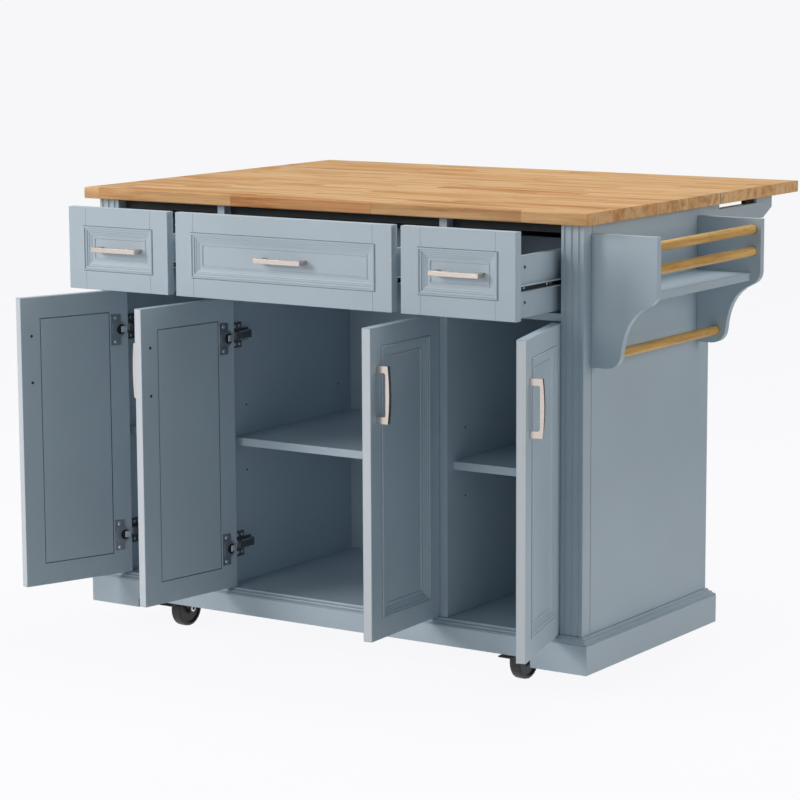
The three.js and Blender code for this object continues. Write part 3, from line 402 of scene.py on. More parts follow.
FINE = (700, 700, 700)
pull_metal = brushed_metal("brushed_nickel", (0.68, 0.60, 0.54), 0.22, (90, 90, 1500))
hinge_metal = brushed_metal("plated_steel", (0.17, 0.18, 0.19), 0.34, FINE)
flange_metal = brushed_metal("pressed_steel", (0.36, 0.39, 0.42), 0.30, FINE)
link_metal = brushed_metal("bright_steel", (0.95, 0.93, 0.92), 0.26, FINE)
print("metals", pull_metal.name, hinge_metal.name, flange_metal.name, link_metal.name)

# %% [markdown]
# The slides and caster forks are black coated steel, the treads and pads dull black plastic. The same
# two blacks paint the shade in the hinge hollows, the screw recesses and the drilled holes. Pure black
# would hide their shape, so they are a very dark grey with a mottled, slightly uneven skin. The same
# function makes a near-black for dark joints and for painted shade on wood that lies in shadow.


# %% Blacks
def dull_black(name, color, roughness, metallic, grain):
    material, tree, shader = start_material(name, roughness, metallic)
    mottling = noise(tree, object_point(tree), 45.0, 4.0)
    high = tuple(channel * 1.7 for channel in color)
    tree.links.new(ramp(tree, mottling, [(0.35, color), (0.7, high)]), shader.inputs["Base Color"])
    skin = noise(tree, object_point(tree), grain, 2.0)
    bump_surface(tree, shader, skin, 0.1, 0.3 * MM, METAL_EDGE)
    return material


# black coated steel, which also paints the shade in hinge hollows and screw recesses
black_steel_and_recess_shade = dull_black("black_steel_and_recess_shade", (0.012, 0.012, 0.013), 0.38, 0.3, 900.0)
# black plastic, which also paints the shade in drilled holes
black_plastic_and_hole_shade = dull_black("black_plastic_and_hole_shade", (0.010, 0.010, 0.010), 0.45, 0.0, 500.0)
# a near-black for dark joints and for painted shade on wood in shadow
joint_stain_and_painted_shade = dull_black("joint_stain_and_painted_shade", (0.010, 0.012, 0.014), 0.7, 0.0, 300.0)
print("blacks", black_steel_and_recess_shade.name, black_plastic_and_hole_shade.name, joint_stain_and_painted_shade.name)

# %% [markdown]
# Every solid now takes the finish of its slot in the record. Only the shading changes: the meshes stay
# as they are. The rails under the worktop are the one exception: the gap above the drawers looks black,
# since it lies in deep shade, so these rails get painted shade, a near-black, instead of the paint.

# %% Finish the solids
FINISHES = {
    "worktop_wood": worktop_wood,
    "paint": paint,
    "dowel_wood": dowel_wood,
    "pulls": pull_metal,
    "hinge_steel": hinge_metal,
    "caster_steel": black_steel_and_recess_shade,
    "caster_tread": black_plastic_and_hole_shade,
}
slot_of = {part["node"]: part["material_slot"] for part in frame["record"]["subparts"]}
for name, solid in nodes.items():
    for slot in solid.material_slots:
        slot.material = FINISHES[slot_of[name]]
# painted shade: the rails under the worktop take a near-black for the shade in the gap above the drawers
for slot in nodes["top_frame"].material_slots:
    slot.material = joint_stain_and_painted_shade
print(len(nodes), "solids finished")

# %% [markdown]
# ## New pieces
# All new pieces are boxes and rods with softened edges, as pressed and turned metal is. They could be
# written as lists of corners, but bmesh operators say what is meant: a cube between two corners, a cone
# between two points, a bevel on the edges that are sharp.


# %% Modelling helpers
def block(bm, corner, opposite):
    """A box between two opposite corners."""
    low, high = Vector(tuple(map(min, corner, opposite))), Vector(tuple(map(max, corner, opposite)))
    made = bmesh.ops.create_cube(bm, size=1.0)["verts"]
    bmesh.ops.scale(bm, vec=high - low, verts=made)
    bmesh.ops.translate(bm, vec=(low + high) / 2, verts=made)
    return made


def rod(bm, start, end, radius, sides=24, end_radius=None):
    """A solid rod, or a cone, between two points."""
    start, end = Vector(start), Vector(end)
    along = end - start
    turn = along.to_track_quat("Z", "Y").to_matrix().to_4x4()
    made = bmesh.ops.create_cone(
        bm, cap_ends=True, segments=sides, radius1=radius,
        radius2=radius if end_radius is None else end_radius, depth=along.length,
    )["verts"]
    bmesh.ops.transform(bm, matrix=Matrix.Translation((start + end) / 2) @ turn, verts=made)
    return made


def soften(bm, made, width, segments=2):
    """Bevels the sharp edges of what was just made."""
    edges = {edge for vert in made for edge in vert.link_edges}
    sharp = [edge for edge in edges if edge.calc_face_angle(0) > math.radians(35)]
    bmesh.ops.bevel(
        bm, geom=sharp, offset=width, offset_type="OFFSET", affect="EDGES", segments=segments,
        profile=0.5, material=-1,
    )


print("modelling helpers ready")

# %% [markdown]
# Each piece rides on a body, so that it moves with the door or drawer it belongs to. It could be drawn
# where it is at rest, but an open door's lines are askew. So the pieces of doors and drawers are drawn
# where they lie when shut, and then carried to the open position by the joint's own numbers: the lower
# limit says how far the rest pose is from shut.


# %% Pieces that ride
def piece(name, bm, material, body, place=None):
    """Makes an object of the bmesh, in place, riding on a body."""
    if place is not None:
        bmesh.ops.transform(bm, matrix=place, verts=bm.verts)
    bmesh.ops.recalc_face_normals(bm, faces=bm.faces)
    mesh = bpy.data.meshes.new(name)
    bm.to_mesh(mesh)
    bm.free()
    mesh.materials.append(material)
    made = bpy.data.objects.new(name, mesh)
    bpy.context.scene.collection.objects.link(made)
    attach(made, body)
    return made


def shut_to_rest(joint_name):
    """The matrix that carries a shut door or drawer to its place at rest."""
    joint = joints[joint_name]
    if joint["type"] == "slide":
        return Matrix.Translation(Vector(joint["axis"]) * -joint["range_m"][0])
    pivot = Vector(joint["pos_m"])
    turn = Matrix.Rotation(math.radians(-joint["range_deg"][0]), 4, Vector(joint["axis"]))
    return Matrix.Translation(pivot) @ turn @ Matrix.Translation(-pivot)


print("door 1 turns", round(math.degrees(shut_to_rest("door_1_swing").to_euler().z), 1), "degrees")

# %% [markdown]
# The cupboard has three bays. Each bay has two walls, and each door hangs on one wall. Sizes that
# several pieces share could be repeated in each cell, but then one of them would be missed in a change,
# so they are written once here. Heights are counted from the floor and brought down to the worktop. A
# side of +1 means a wall that faces +X.

# %% Bays and doors
CARCASS_FRONT = 25 * MM
FACE_Y = CARCASS_FRONT - WORKTOP_DEPTH / 2
FRONT_THICKNESS = 19 * MM
FRONT_BACK = FACE_Y + FRONT_THICKNESS
FRONT_GAP = 1.5 * MM
PILASTER = 49 * MM
MIDDLE_HALF = 258.5 * MM
PARTITION = 17 * MM
SIDE_BAY = 255.5 * MM
walls = {
    1: (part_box("end_frame_left")[0].x + PILASTER, 1),
    2: (-MIDDLE_HALF, 1),
    3: (MIDDLE_HALF, -1),
    4: (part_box("end_frame_right")[1].x - PILASTER, -1),
}
bays = {
    "left": ((walls[1][0], 1), (-MIDDLE_HALF - PARTITION, -1)),
    "middle": (walls[2], walls[3]),
    "right": ((MIDDLE_HALF + PARTITION, 1), (walls[4][0], -1)),
}
SIDE_DOOR = SIDE_BAY - 2 * FRONT_GAP
MIDDLE_DOOR = MIDDLE_HALF - 1.5 * FRONT_GAP
DOOR_WIDTHS = {1: SIDE_DOOR, 2: MIDDLE_DOOR, 3: MIDDLE_DOOR, 4: SIDE_DOOR}
DRAWER_BOTTOM = 738 * MM - WORKTOP_HEIGHT
DRAWER_Z = (DRAWER_BOTTOM, 904 * MM - WORKTOP_HEIGHT)
DOOR_Z = (120 * MM - WORKTOP_HEIGHT, 719 * MM - WORKTOP_HEIGHT)


def shut_door(number):
    """The x of a shut door's hinged edge and of its free edge."""
    wall_x, side = walls[number]
    hinged = wall_x + side * FRONT_GAP
    return hinged, hinged + side * DOOR_WIDTHS[number]


print("doors", [round(width * 1000, 2) for width in DOOR_WIDTHS.values()], "mm wide")

# %% [markdown]
# ## Concealed hinges
# A concealed hinge has a plate screwed to the wall, an arm clipped on the plate, and a cup in the door
# with a flange and two screws. Their sizes repeat those of the solids, so the metal lies over the shapes
# that are fused with the wood there, a hair larger.

# %% Hinge sizes
HINGE_HEIGHTS = [height * MM - WORKTOP_HEIGHT for height in (637, 202)]
COVER = 0.3 * MM
PLATE_START = FACE_Y + 22 * MM
PLATE_LENGTH = 52 * MM
PLATE_HALF = 26 * MM
PLATE_THICKNESS = 2.4 * MM
EAR_END = PLATE_START + PLATE_LENGTH * 0.55 + COVER
EAR_SCREW = 18.5 * MM
EAR_ROWS = (0.13, 0.40)
ARM_HALF = 8.5 * MM
ARM_RISE = 13 * MM
ARM_ROWS = (0.42, 0.80)
TONGUE_HALF = ARM_HALF + 4 * MM
PIVOT_FROM_WALL = 3.5 * MM
PIVOT_Y = FACE_Y + 2.2 * MM
LINK_HALF = 6.5 * MM
print("hinges at", [round(height, 3) for height in HINGE_HEIGHTS])

# %% [markdown]
# A screw is only a few pixels wide, yet a plain disc reads as a stud. A domed head with a dark cross on
# it reads as a screw. The cross could be cut out, but two thin blades laid on the head, painted with the
# shade of the recess, look the same from a step away.


# %% Screw heads
def screw_head(bm, centre, normal, radius=3.2 * MM, rise=1.0 * MM):
    """A domed head that stands on a surface."""
    centre, normal = Vector(centre), Vector(normal).normalized()
    rod(bm, centre, centre + normal * rise * 0.5, radius, 20)
    rod(bm, centre + normal * rise * 0.5, centre + normal * rise, radius, 20, radius * 0.62)


def cross_recess_shade(bm, centre, normal, radius=1.7 * MM, rise=1.04 * MM):
    """The painted shade of the cross recess on a screw head: two crossed dark blades laid on its top."""
    centre, normal = Vector(centre), Vector(normal).normalized()
    side = normal.orthogonal().normalized()
    other = normal.cross(side)
    for along, across in ((side, other), (other, side)):
        made = bmesh.ops.create_cube(bm, size=1.0)["verts"]
        axes = Matrix((along * radius * 2, across * 0.55 * MM, normal * 0.12 * MM)).transposed()
        place = Matrix.Translation(centre + normal * rise) @ axes.to_4x4()
        bmesh.ops.transform(bm, matrix=place, verts=made)


print("screw heads ready")

# %% [markdown]
# The wall plate is a short cross: a strip along the arm with two ears above and below, each ear with
# its screws. The arm is a folded channel with a rounded nose and two adjusting screws, and a bright link
# runs from it to the pivot pin. One function draws them for a wall that faces either way, so left and
# right hinges can't differ.


# %% Wall plates and arms
def wall_hinge(metal, dark, bright, z, wall_x, side):
    """dark collects the painted shade of the screws' recesses, bright the screws in the ears."""
    def slab(x0, x1, y0, y1, half_height, softness):
        corner = (wall_x + side * x0, y0, z - half_height)
        made = block(metal, corner, (wall_x + side * x1, y1, z + half_height))
        soften(metal, made, softness)

    plate_top = PLATE_THICKNESS + COVER
    plate_end = PLATE_START + PLATE_LENGTH
    slab(0, plate_top, PLATE_START - COVER, EAR_END, PLATE_HALF + COVER, 0.5 * MM)
    slab(0, plate_top, EAR_END - MM, plate_end + COVER, TONGUE_HALF + COVER, 0.5 * MM)
    slab(PLATE_THICKNESS, ARM_RISE + COVER, PLATE_START + 0.7 * MM, plate_end - 0.7 * MM,
         ARM_HALF + COVER, 2.2 * MM)
    out = (side, 0, 0)
    for ear in (-1, 1):
        for row in EAR_ROWS:
            centre = (wall_x + side * plate_top, PLATE_START + PLATE_LENGTH * row, z + ear * EAR_SCREW)
            screw_head(bright, centre, out, 3.3 * MM)
            cross_recess_shade(dark, centre, out)
    for row in ARM_ROWS:
        centre = (wall_x + side * (ARM_RISE + COVER), PLATE_START + PLATE_LENGTH * row, z)
        screw_head(metal, centre, out, 3.6 * MM, 0.7 * MM)
        cross_recess_shade(dark, centre, out, 2.0 * MM, 0.74 * MM)


def wall_link(bm, z, wall_x, side):
    """The bright link from the arm to the pivot pin."""
    half_thickness, half_height = 1.0 * MM, LINK_HALF + 0.1 * MM
    x = wall_x + side * PIVOT_FROM_WALL
    made = block(
        bm, (x - half_thickness, PIVOT_Y + 0.4 * MM, z - half_height),
        (x + half_thickness, PLATE_START + 2 * MM, z + half_height),
    )
    soften(bm, made, 0.3 * MM)


for number, (wall_x, side) in walls.items():
    metal, dark, bright = bmesh.new(), bmesh.new(), bmesh.new()
    for height in HINGE_HEIGHTS:
        wall_hinge(metal, dark, bright, height, wall_x, side)
        wall_link(bright, height, wall_x, side)
    piece(f"hinge_arms_{number}", metal, hinge_metal, "cabinet")
    # painted shade of the screw recesses on the hinge arms
    piece(f"hinge_arm_recess_shade_{number}", dark, black_steel_and_recess_shade, "cabinet")
    piece(f"hinge_links_{number}", bright, link_metal, "cabinet")
print(len(walls), "pairs of hinge arms")

# %% [markdown]
# On the door's back lies a flange with a screw at each end. Between the screws a round cup swells out
# towards the hinged edge. A flat plate alone would read as a sticker. A bright link that dips into a
# dark hollow makes it read as pressed steel; the hollow is a dark disc of painted shade on the cup.

# %% Cups and flanges
FLANGE = (18.5 * MM, 42.5 * MM)
FLANGE_HALF = 32 * MM
FLANGE_TOP = FRONT_BACK + 1.2 * MM + COVER
FLANGE_SCREW = (31 * MM, 25 * MM)
CUP_CENTRE = 22.5 * MM
CUP_RADIUS = 16.8 * MM
HOLLOW_CENTRE = CUP_CENTRE - 5 * MM
HOLLOW_RADIUS = 10.5 * MM
LINK_START = 3.6 * MM


def cup(metal, dark, bright, edge_x, side, z):
    """The flange, the cup with a dark disc of painted shade for its hollow, and the link, at one height."""
    def at(distance, y, height):
        return (edge_x + side * distance, y, z + height)

    made = block(metal, at(FLANGE[0] - COVER, FRONT_BACK + 0.02 * MM, -FLANGE_HALF - COVER),
                 at(FLANGE[1] + COVER, FLANGE_TOP, FLANGE_HALF + COVER))
    soften(metal, made, 0.5 * MM)
    cup_end = at(CUP_CENTRE, FLANGE_TOP + 0.3 * MM, 0)
    rim = rod(metal, at(CUP_CENTRE, FRONT_BACK - 8 * MM, 0), cup_end, CUP_RADIUS, 40)
    soften(metal, rim, 0.25 * MM)
    hollow_end = at(HOLLOW_CENTRE, FLANGE_TOP + 0.4 * MM, 0)
    # painted shade: a dark disc stands on the cup where its hollow is
    rod(dark, at(HOLLOW_CENTRE, FRONT_BACK - 4 * MM, 0), hollow_end, HOLLOW_RADIUS, 32)
    link = block(bright, at(LINK_START, FRONT_BACK + 0.6 * MM, -LINK_HALF),
                 at(HOLLOW_CENTRE, FRONT_BACK + 2.6 * MM, LINK_HALF))
    soften(bright, link, 0.4 * MM)
    for end in (-1, 1):
        centre = at(FLANGE_SCREW[0], FLANGE_TOP, end * FLANGE_SCREW[1])
        screw_head(bright, centre, (0, 1, 0), 3.6 * MM)
        cross_recess_shade(dark, centre, (0, 1, 0))


for number, (wall_x, side) in walls.items():
    metal, dark, bright = bmesh.new(), bmesh.new(), bmesh.new()
    for height in HINGE_HEIGHTS:
        cup(metal, dark, bright, shut_door(number)[0], side, height)
    place = shut_to_rest(f"door_{number}_swing")
    piece(f"hinge_flanges_{number}", metal, flange_metal, f"door_{number}", place)
    # painted shade of the cup hollows and of the screw recesses
    piece(f"hinge_hollow_and_recess_shade_{number}", dark, black_steel_and_recess_shade, f"door_{number}", place)
    piece(f"hinge_screws_{number}", bright, link_metal, f"door_{number}", place)
print(len(walls), "pairs of hinge cups")

# %% [markdown]
# ## Drawer slides
# The slide that shows beside an open drawer is a long black channel with bright screws. The half on the
# drawer box is one strip, the half on the wall a wider channel round it. The two halves move apart, so
# they are pieces of their own, each on its own body.

# %% Slides
BOX_LIFT = 3 * MM
SLIDE_LIFT = 47 * MM
SLIDE_LOW = DRAWER_BOTTOM + BOX_LIFT + SLIDE_LIFT
SLIDE_HIGH = SLIDE_LOW + 17 * MM
SLIDE_WIDTH = 12.7 * MM
SLIDE_LENGTH = 350 * MM
SHEET = 1.6 * MM
SLIDE_INSET = SHEET + 0.5 * MM
TRACK_START = FRONT_BACK + 2 * MM
RUNNER_START = FRONT_BACK + 1.3 * MM
SLIDE_SCREWS = ((0, 2.6 * MM, 0.45 * MM), (11 * MM, 1.2 * MM, 0.3 * MM), (15 * MM, 1.2 * MM, 0.3 * MM))


def wall_track(bm, wall_x, side):
    """Covers the channel fused with the wall: a web and two lips."""
    thick = SHEET + 0.15 * MM
    low, high = SLIDE_LOW - 0.2 * MM, SLIDE_HIGH + 0.2 * MM
    start, end = TRACK_START - 0.2 * MM, TRACK_START + SLIDE_LENGTH + 0.2 * MM
    lip = SLIDE_WIDTH - SLIDE_INSET + 0.1 * MM
    for reach, z0, z1 in ((thick, low, high), (lip, low, low + thick), (lip, high - thick, high)):
        block(bm, (wall_x, start, z0), (wall_x + side * reach, end, z1))


def box_runner(bm, bright, wall_x, side):
    """Covers the channel fused with the drawer box, with screws that show as bright dots."""
    outer = wall_x + side * (SLIDE_WIDTH - SHEET - 0.05 * MM)
    inner = wall_x + side * (SLIDE_WIDTH + 0.32 * MM)
    low, high = SLIDE_LOW + SLIDE_INSET - 0.15 * MM, SLIDE_HIGH - SLIDE_INSET + 0.15 * MM
    end = RUNNER_START + SLIDE_LENGTH - 1 * MM
    made = block(bm, (outer, RUNNER_START - 0.1 * MM, low), (inner, end, high))
    soften(bm, made, 0.3 * MM)
    for step in range(4):
        for behind, radius, rise in SLIDE_SCREWS:
            y = RUNNER_START + (12 + step * 96) * MM + behind
            screw_head(bright, (outer, y, (low + high) / 2), (-side, 0, 0), radius, rise)


for bay, bay_walls in bays.items():
    tracks, runners, bright = bmesh.new(), bmesh.new(), bmesh.new()
    for wall_x, side in bay_walls:
        wall_track(tracks, wall_x, side)
        box_runner(runners, bright, wall_x, side)
    place = shut_to_rest(f"drawer_{bay}_slide")
    piece(f"slide_tracks_{bay}", tracks, black_steel_and_recess_shade, "cabinet")
    piece(f"slide_runners_{bay}", runners, black_steel_and_recess_shade, f"drawer_{bay}", place)
    piece(f"slide_screws_{bay}", bright, link_metal, f"drawer_{bay}", place)
print(len(bays), "pairs of slides")

# %% [markdown]
# ## Small holes and screws
# The walls are drilled so that the shelves can sit higher or lower, and steel pins carry them. A hole
# could be cut into the solid, but the solids stay as they are: a dark dish of painted shade that stands a
# hair proud of the wall reads as a hole. Such holes tell the eye how large the cupboard is.

# %% Shelf holes and pins
PIN_INSET = 45 * MM
SHELF_Y = (CARCASS_FRONT + 23 * MM, 470 * MM)
PIN_ROWS = [y - WORKTOP_DEPTH / 2 for y in (SHELF_Y[0] + PIN_INSET, SHELF_Y[1] - PIN_INSET)]
HOLE_HEIGHTS = [height * MM - WORKTOP_HEIGHT for height in (352.3, 488.7)]
HOLE_RADIUS = 2.5 * MM
PIN_Z = 408.2 * MM - WORKTOP_HEIGHT
PIN_RADIUS = 2.65 * MM
PIN_REACH = 6.1 * MM


def drilled_hole(bm, centre, normal, radius):
    """A shallow dark dish of painted shade that reads as a drilled hole."""
    centre, normal = Vector(centre), Vector(normal)
    rod(bm, centre - normal * 0.4 * MM, centre + normal * 0.06 * MM, radius, 16, radius * 0.92)


holes, pins = bmesh.new(), bmesh.new()
for bay_walls in bays.values():
    for wall_x, side in bay_walls:
        for y in PIN_ROWS:
            for height in HOLE_HEIGHTS:
                drilled_hole(holes, (wall_x, y, height), (side, 0, 0), HOLE_RADIUS)
            rod(pins, (wall_x, y, PIN_Z), (wall_x + side * PIN_REACH, y, PIN_Z), PIN_RADIUS, 16)
# painted shade of the drilled shelf holes
piece("shelf_pin_hole_shade", holes, black_plastic_and_hole_shade, "cabinet")
piece("shelf_pins", pins, link_metal, "cabinet")
print("holes at", HOLE_HEIGHTS)

# %% [markdown]
# Two screws hold each side of a drawer box to the front, one above the slide and one below. The screws
# of a pull pass through the door, and show on its back as two dark dots.

# %% Drawer and pull screws
BOX_BOTTOM = DRAWER_BOTTOM + BOX_LIFT
BOX_SCREWS = (28 * MM, 94 * MM)
PULL_Z = 592 * MM - WORKTOP_HEIGHT
PULL_INSET = 24 * MM
PULL_SPACING = 96 * MM

for bay, bay_walls in bays.items():
    screws = bmesh.new()
    for wall_x, side in bay_walls:
        for height in BOX_SCREWS:
            centre = (wall_x + side * SLIDE_WIDTH, FRONT_BACK + 32 * MM, BOX_BOTTOM + height)
            screw_head(screws, centre, (-side, 0, 0), 3.2 * MM, 0.5 * MM)
    place = shut_to_rest(f"drawer_{bay}_slide")
    piece(f"drawer_side_screws_{bay}", screws, black_steel_and_recess_shade, f"drawer_{bay}", place)

for number, (wall_x, side) in walls.items():
    screws = bmesh.new()
    x = shut_door(number)[1] - side * PULL_INSET
    for end in (-0.5, 0.5):
        centre = (x, FRONT_BACK, PULL_Z + end * PULL_SPACING)
        drilled_hole(screws, centre, (0, 1, 0), 3.4 * MM)
    place = shut_to_rest(f"door_{number}_swing")
    piece(f"pull_screws_{number}", screws, black_plastic_and_hole_shade, f"door_{number}", place)
print("screws in", len(bays), "drawers and", len(walls), "doors")

# %% [markdown]
# ## Lines on the fronts
# The stiles and rails of the drawer fronts meet in hairline joints, which the paint never quite fills:
# two run from the top edge to the moulding and two from the bottom edge. A painted shadow line runs round
# the moulding of every front, at the foot of its bead, where the bead casts its shade. Both could be lines
# in the paint's material, but then the paint would have to know every front. Thin dark strips laid on the
# face are simpler.

# %% Frame joints and shadow lines
STILE = 44 * MM
BEAD = 6 * MM
MOULDING_INSET = STILE - BEAD
EDGE_MARGIN = 0.8 * MM
HAIRLINE = 0.45 * MM
BEAD_SHADOW_WIDTH = 0.7 * MM


def face_strip(bm, x0, x1, z0, z1):
    block(bm, (x0, FACE_Y - 0.04 * MM, z0), (x1, FACE_Y + 0.3 * MM, z1))


def frame_joints(bm, x0, x1, z0, z1):
    """Four hairlines, above and below the moulding."""
    for x in (x0 + STILE, x1 - STILE):
        face_strip(bm, x - HAIRLINE / 2, x + HAIRLINE / 2, z0 + EDGE_MARGIN, z0 + MOULDING_INSET)
        face_strip(bm, x - HAIRLINE / 2, x + HAIRLINE / 2, z1 - MOULDING_INSET, z1 - EDGE_MARGIN)


def bead_shadow(bm, x0, x1, z0, z1):
    """Four strips of painted shadow round the moulding, just outside its bead."""
    x0, x1, z0, z1 = x0 + MOULDING_INSET, x1 - MOULDING_INSET, z0 + MOULDING_INSET, z1 - MOULDING_INSET
    face_strip(bm, x0 - BEAD_SHADOW_WIDTH, x0, z0 - BEAD_SHADOW_WIDTH, z1 + BEAD_SHADOW_WIDTH)
    face_strip(bm, x1, x1 + BEAD_SHADOW_WIDTH, z0 - BEAD_SHADOW_WIDTH, z1 + BEAD_SHADOW_WIDTH)
    face_strip(bm, x0, x1, z0 - BEAD_SHADOW_WIDTH, z0)
    face_strip(bm, x0, x1, z1, z1 + BEAD_SHADOW_WIDTH)


for bay, bay_walls in bays.items():
    lines = bmesh.new()
    left_x, right_x = (wall_x for wall_x, side in bay_walls)
    outline = (left_x + FRONT_GAP, right_x - FRONT_GAP, *DRAWER_Z)
    frame_joints(lines, *outline)
    bead_shadow(lines, *outline)
    place = shut_to_rest(f"drawer_{bay}_slide")
    # dark hairline joints, and painted shadow round the moulding
    piece(f"drawer_joints_and_shadow_lines_{bay}", lines, joint_stain_and_painted_shade, f"drawer_{bay}", place)
for number in walls:
    lines = bmesh.new()
    bead_shadow(lines, *sorted(shut_door(number)), *DOOR_Z)
    place = shut_to_rest(f"door_{number}_swing")
    # painted shadow round the moulding of each door
    piece(f"door_shadow_lines_{number}", lines, joint_stain_and_painted_shade, f"door_{number}", place)
print("lines on", len(bays) + len(walls), "fronts")

# %% [markdown]
# The groove round a door's back is a deep narrow cut, and reads as a black line. Its walls catch light
# in the render that the deep shade of a real groove swallows, so dark strips of painted shade fill it to
# just below the surface.

# %% Door grooves
GROOVE_HALF = 0.8 * MM
GROOVE_FILL = (FRONT_BACK - 1.5 * MM, FRONT_BACK - 0.25 * MM)


def painted_groove_shade(bm, x0, x1, z0, z1):
    """Four dark strips of painted shade in the groove, a little below the door's back."""
    x0, x1, z0, z1 = x0 + STILE, x1 - STILE, z0 + STILE, z1 - STILE
    deep, high = GROOVE_FILL
    for x in (x0, x1):
        block(bm, (x - GROOVE_HALF, deep, z0), (x + GROOVE_HALF, high, z1))
    for z in (z0, z1):
        block(bm, (x0, deep, z - GROOVE_HALF), (x1, high, z + GROOVE_HALF))


print("grooves", round(GROOVE_HALF * 2000, 2), "mm wide")

# %% [markdown]
# The free edge of a door is a strip of edging, a little paler than the faces, and the paler colour also
# paints the light that the free edge catches. It could be a mask in the paint, but a thin strip of its
# own keeps the paint the same on every solid.

# %% Grooves and edging on the doors
EDGING = 0.12 * MM
EDGING_MARGIN = (0.9 * MM, 1.0 * MM)
# paler edging, which also paints a highlight on the lit free edges
edging_and_highlight_paint = satin_paint("edging_and_highlight_paint", (0.60, 0.68, 0.74))

for number, (wall_x, side) in walls.items():
    groove, edging = bmesh.new(), bmesh.new()
    painted_groove_shade(groove, *sorted(shut_door(number)), *DOOR_Z)
    free_x = shut_door(number)[1]
    aside, above = EDGING_MARGIN
    block(edging, (free_x, FACE_Y + aside, DOOR_Z[0] + above),
          (free_x + side * EDGING, FRONT_BACK - aside, DOOR_Z[1] - above))
    place = shut_to_rest(f"door_{number}_swing")
    # painted shade in the groove round the door's back
    piece(f"door_groove_shade_{number}", groove, joint_stain_and_painted_shade, f"door_{number}", place)
    piece(f"door_edging_and_highlight_{number}", edging, edging_and_highlight_paint, f"door_{number}", place)
print("grooves and edging on", len(walls), "doors")

# %% [markdown]
# ## Under the leaf
# Two black rubber pads under the leaf rest in the notches of its supports. They ride on the leaf, since
# they are screwed to it. Where the leaf meets the fixed top, a dark line shows on the end grain: the
# real gap is too narrow for the render to draw by itself.

# %% Pads and joint line
SUPPORT_X = 549 * MM
PAD_HALF = 6.2 * MM
PAD_Y = (205.8 * MM, 240.2 * MM)
PAD_Z = (-40.5 * MM, -22.9 * MM)
JOINT_LINE = 1.6 * MM
JOINT_PROUD = 0.05 * MM
JOINT_MARGIN = 0.5 * MM

joint_y = WORKTOP_DEPTH / 2
for name, side in (("left", -1), ("right", 1)):
    pad = bmesh.new()
    x = side * SUPPORT_X
    made = block(
        pad, (x - PAD_HALF, joint_y + PAD_Y[0], PAD_Z[0]),
        (x + PAD_HALF, joint_y + PAD_Y[1], PAD_Z[1]),
    )
    soften(pad, made, 0.8 * MM)
    piece(f"leaf_pad_{name}", pad, black_plastic_and_hole_shade, "leaf")

top_low, top_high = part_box("worktop")
line = bmesh.new()
for end_x in (top_low.x, top_high.x):
    block(
        line, (end_x - JOINT_PROUD, top_high.y - JOINT_LINE, top_low.z + JOINT_MARGIN),
        (end_x + JOINT_PROUD, top_high.y - 0.1 * MM, top_high.z - JOINT_MARGIN),
    )
piece("leaf_joint_line", line, joint_stain_and_painted_shade, "cabinet")
print("two pads and a joint line")

# %% [markdown]
# ## Casters
# A bright nut sits at each end of a caster's axle, with the dark end of the bolt in it. A cylinder of
# six sides is a nut already, so no other shape is needed. Nuts ride on the fork, not on the wheel: they
# stay still while the wheel turns.

# %% Axle nuts
NUT = (16.4 * MM, 19.3 * MM)
NUT_RADIUS = 7.2 * MM
BOLT_END = (17 * MM, 19.8 * MM)
BOLT_RADIUS = 4.1 * MM


def axle_rod(bm, hub, side, reach, radius, sides):
    """A rod along the axle, from the nearer to the farther distance from the hub."""
    near, far = (hub + Vector((side * distance, 0, 0)) for distance in reach)
    return rod(bm, near, far, radius, sides)


for corner in ("front_left", "front_right", "back_left", "back_right"):
    low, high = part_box(f"caster_wheel_{corner}")
    hub = (low + high) / 2
    nuts, ends = bmesh.new(), bmesh.new()
    for side in (-1, 1):
        nut = axle_rod(nuts, hub, side, NUT, NUT_RADIUS, 6)
        soften(nuts, nut, 0.5 * MM)
        axle_rod(ends, hub, side, BOLT_END, BOLT_RADIUS, 16)
    piece(f"axle_nuts_{corner}", nuts, link_metal, f"caster_{corner}")
    piece(f"axle_ends_{corner}", ends, black_steel_and_recess_shade, f"caster_{corner}")
print("nuts on four casters")

# %% [markdown]
# ## Stage and light
# The picture has no visible floor: the ground and the backdrop are one even near-white. More light on a
# white floor would also bleach the island. So the rays from the camera, from shiny metal and through
# clear things meet that white as a glow. On the floor the glow leaves room for a faint shadow, and every
# other ray meets an ordinary pale floor that sends light up under the island.

# %% Floor
NEAR_WHITE = (0.955, 0.955, 0.972)
FLOOR_COLOR = (0.82, 0.82, 0.825)
FLOOR_SIZE = 400
FLOOR_GLOW = 0.92
GLOW_STRENGTH = 1.045


def sees_backdrop(tree):
    """1 for the rays that meet the near-white: camera, glossy and transmission rays."""
    path = add_node(tree, "ShaderNodeLightPath").outputs
    direct = math_node(tree, "MAXIMUM", path["Is Camera Ray"], path["Is Transmission Ray"])
    return math_node(tree, "MAXIMUM", direct, path["Is Glossy Ray"])


def square_sheet(name, size, place, material):
    """A flat square, put in its place."""
    bm = bmesh.new()
    bmesh.ops.create_grid(bm, x_segments=1, y_segments=1, size=size / 2)
    bmesh.ops.transform(bm, matrix=place, verts=bm.verts)
    mesh = bpy.data.meshes.new(name)
    bm.to_mesh(mesh)
    bm.free()
    mesh.materials.append(material)
    sheet = bpy.data.objects.new(name, mesh)
    bpy.context.scene.collection.objects.link(sheet)
    return sheet


